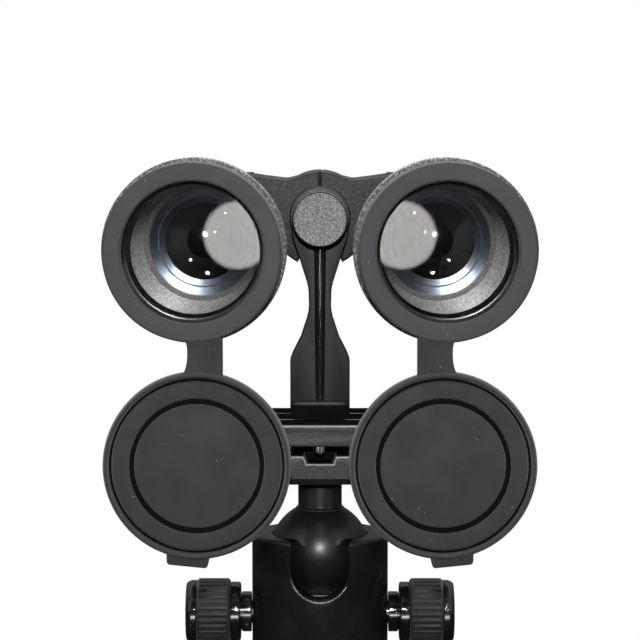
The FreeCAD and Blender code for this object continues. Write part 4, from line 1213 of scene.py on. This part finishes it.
def pan_base():
    """Turntable base with a panning scale of plain ticks."""
    outer, top = Place("pan_base").size.x / 2, 14.0
    profile = [(0.0, 4.0, 0.3), (0.0, outer - 1, 0.3), (1.0, outer, 0.3), (top - 1.2, outer, 0.3),
               (top, outer - 1.2, 0.3), (top, 12.0, 0.2), (19.5, 12.0, 0.2), (19.5, 3.1, 0.2),
               (12.0, 3.1, 0.1), (12.0, 4.0, 0.1)]
    piece("pan_base_turned", Solid().turned("Z", profile, Vector(), 192), "base", ANODISED, "anodised",
          ["pan_base"])
    ticks = Solid()
    for k in range(PAN_TICKS):
        foot = 3.2 if k % 6 else 4.6
        start = len(ticks.verts)
        ticks.bar((-0.14, -outer - 0.02, top - foot), (0.14, -outer + 0.1, top - 1.9), 0.04)
        ticks.moved(Matrix.Rotation(2 * pi * k / PAN_TICKS, 4, "Z"), start)
    piece("pan_scale", ticks, "base", PAINT, "anodised")


# ---------------------------------------------------------------- stage, lights and camera

def world():
    """A white studio seen by the camera; softer and darker as a light, and nearly black below."""
    studio = bpy.data.worlds.new("studio")
    bpy.context.scene.world = studio
    studio.use_nodes = True
    tree = studio.node_tree
    tree.nodes.clear()
    kinds = ("TexCoord", "SeparateXYZ", "ValToRGB", "MapRange", "LightPath", "Background", "Background",
             "MixShader", "OutputWorld")
    place, split, ramp, lift, path, light, white, mix, out = [tree.nodes.new("ShaderNode" + k) for k in kinds]
    ramp.color_ramp.interpolation = "EASE"
    stops = ((0.0, 0.015), (0.45, 0.03), (0.56, 0.14), (0.75, 0.3), (1.0, 1.2))
    while len(ramp.color_ramp.elements) < len(stops):
        ramp.color_ramp.elements.new(0.5)
    for element, (where, value) in zip(ramp.color_ramp.elements, stops):
        element.position = where
        element.color = (value, value, value, 1)
    lift.inputs["From Min"].default_value = -1
    white.inputs["Strength"].default_value = 1.0
    white.inputs["Color"].default_value = (1, 1, 1, 1)
    for source, output, target, socket in (
            (place, "Generated", split, "Vector"), (split, "Z", lift, "Value"), (lift, "Result", ramp, "Fac"),
            (ramp, "Color", light, "Color"), (path, "Is Camera Ray", mix, "Fac"),
            (light, "Background", mix, 1), (white, "Background", mix, 2), (mix, "Shader", out, "Surface")):
        tree.links.new(source.outputs[output], target.inputs[socket])


def floor():
    """Pale seamless floor; only round the foot does it take a soft shadow."""
    bpy.ops.mesh.primitive_grid_add(x_subdivisions=2, y_subdivisions=2, size=12, location=(0, 0, 0))
    thing = bpy.context.object
    thing.name = "floor"
    n = Nodes("pale_floor")
    n.set(colour=(0.85, 0.85, 0.85), rough=0.9, level=0.1)
    glow, length, mix = [n.new(kind) for kind in ("Emission", "VectorMath", "MixShader")]
    length.operation = "LENGTH"
    n.feed(length.inputs[0], n.place)
    n.feed(mix.inputs["Fac"], n.curve(length.outputs["Value"], 0.03, 0.09))
    n.feed(mix.inputs[1], n.shader.outputs["BSDF"])
    n.feed(mix.inputs[2], glow.outputs["Emission"])
    n.feed(n.tree.nodes["Material Output"].inputs["Surface"], mix.outputs["Shader"])
    thing.data.materials.append(n.material)
    thing.visible_diffuse = thing.visible_glossy = thing.visible_transmission = thing.visible_shadow = False


def lamp(name, where, aim, size, power, shape="RECTANGLE", only=(), never=(), through=False,
         colour=(1, 1, 1)):
    """A soft area light. It lights only some pieces, or all but some; through means it casts no shadow."""
    data = bpy.data.lights.new(name, "AREA")
    data.shape = shape
    data.size, data.size_y = size
    data.energy = power
    data.color = colour
    thing = bpy.data.objects.new(name, data)
    bpy.context.scene.collection.objects.link(thing)
    thing.location = where
    thing.rotation_euler = (Vector(aim) - Vector(where)).to_track_quat("-Z", "Y").to_euler()
    thing.visible_camera = False
    if only or never:
        group = bpy.data.collections.new(name + "_link")
        for member in only or never:
            group.objects.link(member)
        thing.light_linking.receiver_collection = group
        for entry in group.collection_objects:
            entry.light_linking.link_state = "INCLUDE" if only else "EXCLUDE"
    if through:
        group = bpy.data.collections.new(name + "_shadows")
        group.objects.link(bpy.data.objects["floor"])
        thing.light_linking.blocker_collection = group


def named(*names):
    return [bpy.data.objects[name] for name in names]


def both(*names):
    """Pieces of both barrels."""
    return [bpy.data.objects["%s_%s" % (barrel.name, name)] for barrel in BARRELS for name in names]


HEART = (0, -0.02, 0.12)
LENS_SPOT = (0.0385, -0.066, 0.1537)


def lights():
    """Soft boxes round the whole, and small ones for single pieces."""
    panes = both("front_lens")
    dark = named("housing_cup", "ball_and_stem", "lock_knob_core", "friction_knob_core")
    inner = both("baffle_tube", "inner_stop", "tube")
    inner += [thing for name, thing in frame["nodes"].items() if name.endswith(INSIDE)]
    rings = both("cover_ring_rubber")
    for thing in rings + both("lens_retainer"):
        thing.visible_glossy = False
    covers = both("cover_rubber")
    metal = named("release_plate", "clamp_channel", "sliding_jaw", "plate_painted_edge_highlight", "clamp_painted_edge_highlight")
    unlit = panes + inner
    matt = unlit + dark + rings + named("plate_pad_rubber")
    lamp("flash", (0, -0.72, 0.275), HEART, (0.03, 0.03), 4.6, "DISK", never=unlit)
    for barrel in BARRELS:
        lamp("front_%s_box" % barrel.name, (barrel.side * 0.75, -0.75, 0.55), HEART, (0.5, 0.7), 1.2,
             never=unlit + dark[:1])
    lamp("top_box", (0, 0.12, 1.0), HEART, (0.9, 0.7), 11.0, never=matt)
    for barrel in BARRELS:
        lamp("back_%s_box" % barrel.name, (barrel.side * 0.8, 0.7, 0.5), HEART, (0.6, 0.8), 4.0, never=matt)
    lamp("low_strip", (0, -0.80, -0.12), (0, 0, 0.035), (0.9, 0.12), 6.0, only=dark[2:])
    lamp("groove_strip", (0, -0.76, 0.092), (0, -0.015, 0.141), (0.008, 0.03), 0.25,
         only=named("bracket_groove_floor"))
    lamp("edge_strip", (0, -0.12, 1.0), (0, 0, 0.09), (0.5, 0.3), 14.0, only=metal, through=True)
    lamp("armour_box", (0, 0.5, 0.75), (0, -0.05, 0.154), (0.9, 0.3), 9.0, only=both("armor_skin"))
    for x in (-0.62, 0.62):
        lamp("ball_box", (x, -0.62, 0.30), (0, 0, 0.05), (0.14, 0.14), 2.2, only=dark[:2])
        lamp("cover_box", (x * 1.6, -0.2, 0.14), (0, -0.07, 0.09), (0.3, 0.3), 5.0, only=covers, through=True)
    for barrel, pane in zip(BARRELS, panes):
        lens_lights(barrel, pane)


def lens_lights(barrel, pane):
    """What the coated front lens mirrors: a soft disc of light with blurred edges, and a few glints."""
    side = barrel.side
    lens = Vector((side * LENS_SPOT[0], *LENS_SPOT[1:]))
    steps, disc, brightness = 6, 0.43, 24.0
    for k in range(steps):
        wide = disc * (1 + 0.035 * k)
        where = lens + Vector((-side * 0.240, -1.075, 0.052)) * (1.0 + 0.01 * k)
        power = brightness * wide * wide / steps
        lamp("%s_lens_box_%d" % (barrel.name, k), where, lens, (wide, wide), power, "DISK", only=[pane],
             through=True, colour=(1, 0.985, 0.955))
    inside = named(barrel.name + "_baffle_tube", barrel.name + "_inner_stop")
    lamp(barrel.name + "_tube_box", lens + Vector((-side * 0.42, -0.03, 0.9)), lens, (0.35, 0.35), 92.0,
         only=inside, through=True)
    # each glint's place on the lens in millimetres, the lamp's width, its power and its colour
    glints = (((4.0, 5.6), 0.022, 1.0, (1, 1, 1)), ((-0.9, -2.8), 0.012, 0.10, (1, 1, 1)),
              ((4.7, -7.0), 0.020, 0.12, (0.85, 0.92, 1)), ((10.5, 12.4), 0.011, 0.09, (1, 0.42, 0.16)),
              ((7.1, 6.4), 0.009, 0.05, (1, 0.48, 0.2)))
    for k, ((x, z), wide, power, colour) in enumerate(glints):
        across = asin(x / LENS_CURVE) * 2 - 0.0535
        up = asin(z / LENS_CURVE) * 2 - 0.0512
        away = Vector((-side * (x * MM + tan(across)), -1, z * MM + tan(up)))
        lamp("%s_glint_%d" % (barrel.name, k), lens + away, lens, (wide, wide), power, "DISK", only=[pane],
             colour=colour)


def camera():
    """Long lens in front of the object, a little above it and tipped down."""
    data = bpy.data.cameras.new("camera")
    tip = 4.61
    data.lens = 131.7
    data.sensor_width = 36
    data.clip_start = 0.01
    thing = bpy.data.objects.new("camera", data)
    bpy.context.scene.collection.objects.link(thing)
    thing.location = (0, -0.775, 0.190)
    thing.rotation_euler = (radians(90 - tip), 0, 0)
    bpy.context.scene.camera = thing
    bpy.context.scene.view_settings.view_transform = "Standard"


finish_cad_nodes()
pan_base()
housing()
side_knob("lock", -1)
side_knob("friction", 1)
ball_and_stem()
clamp()
quick_release_plate()
bracket()
bracket_knob()
focus_wheel()
diopter()
for each in BARRELS:
    barrel_body(each)
    bridge(each)
    armor(each)
    objective(each)
    dish(each)
    cover_ring(each)
    strap(each)
    cover(each)
    eyecup(each)
world()
floor()
lights()
camera()
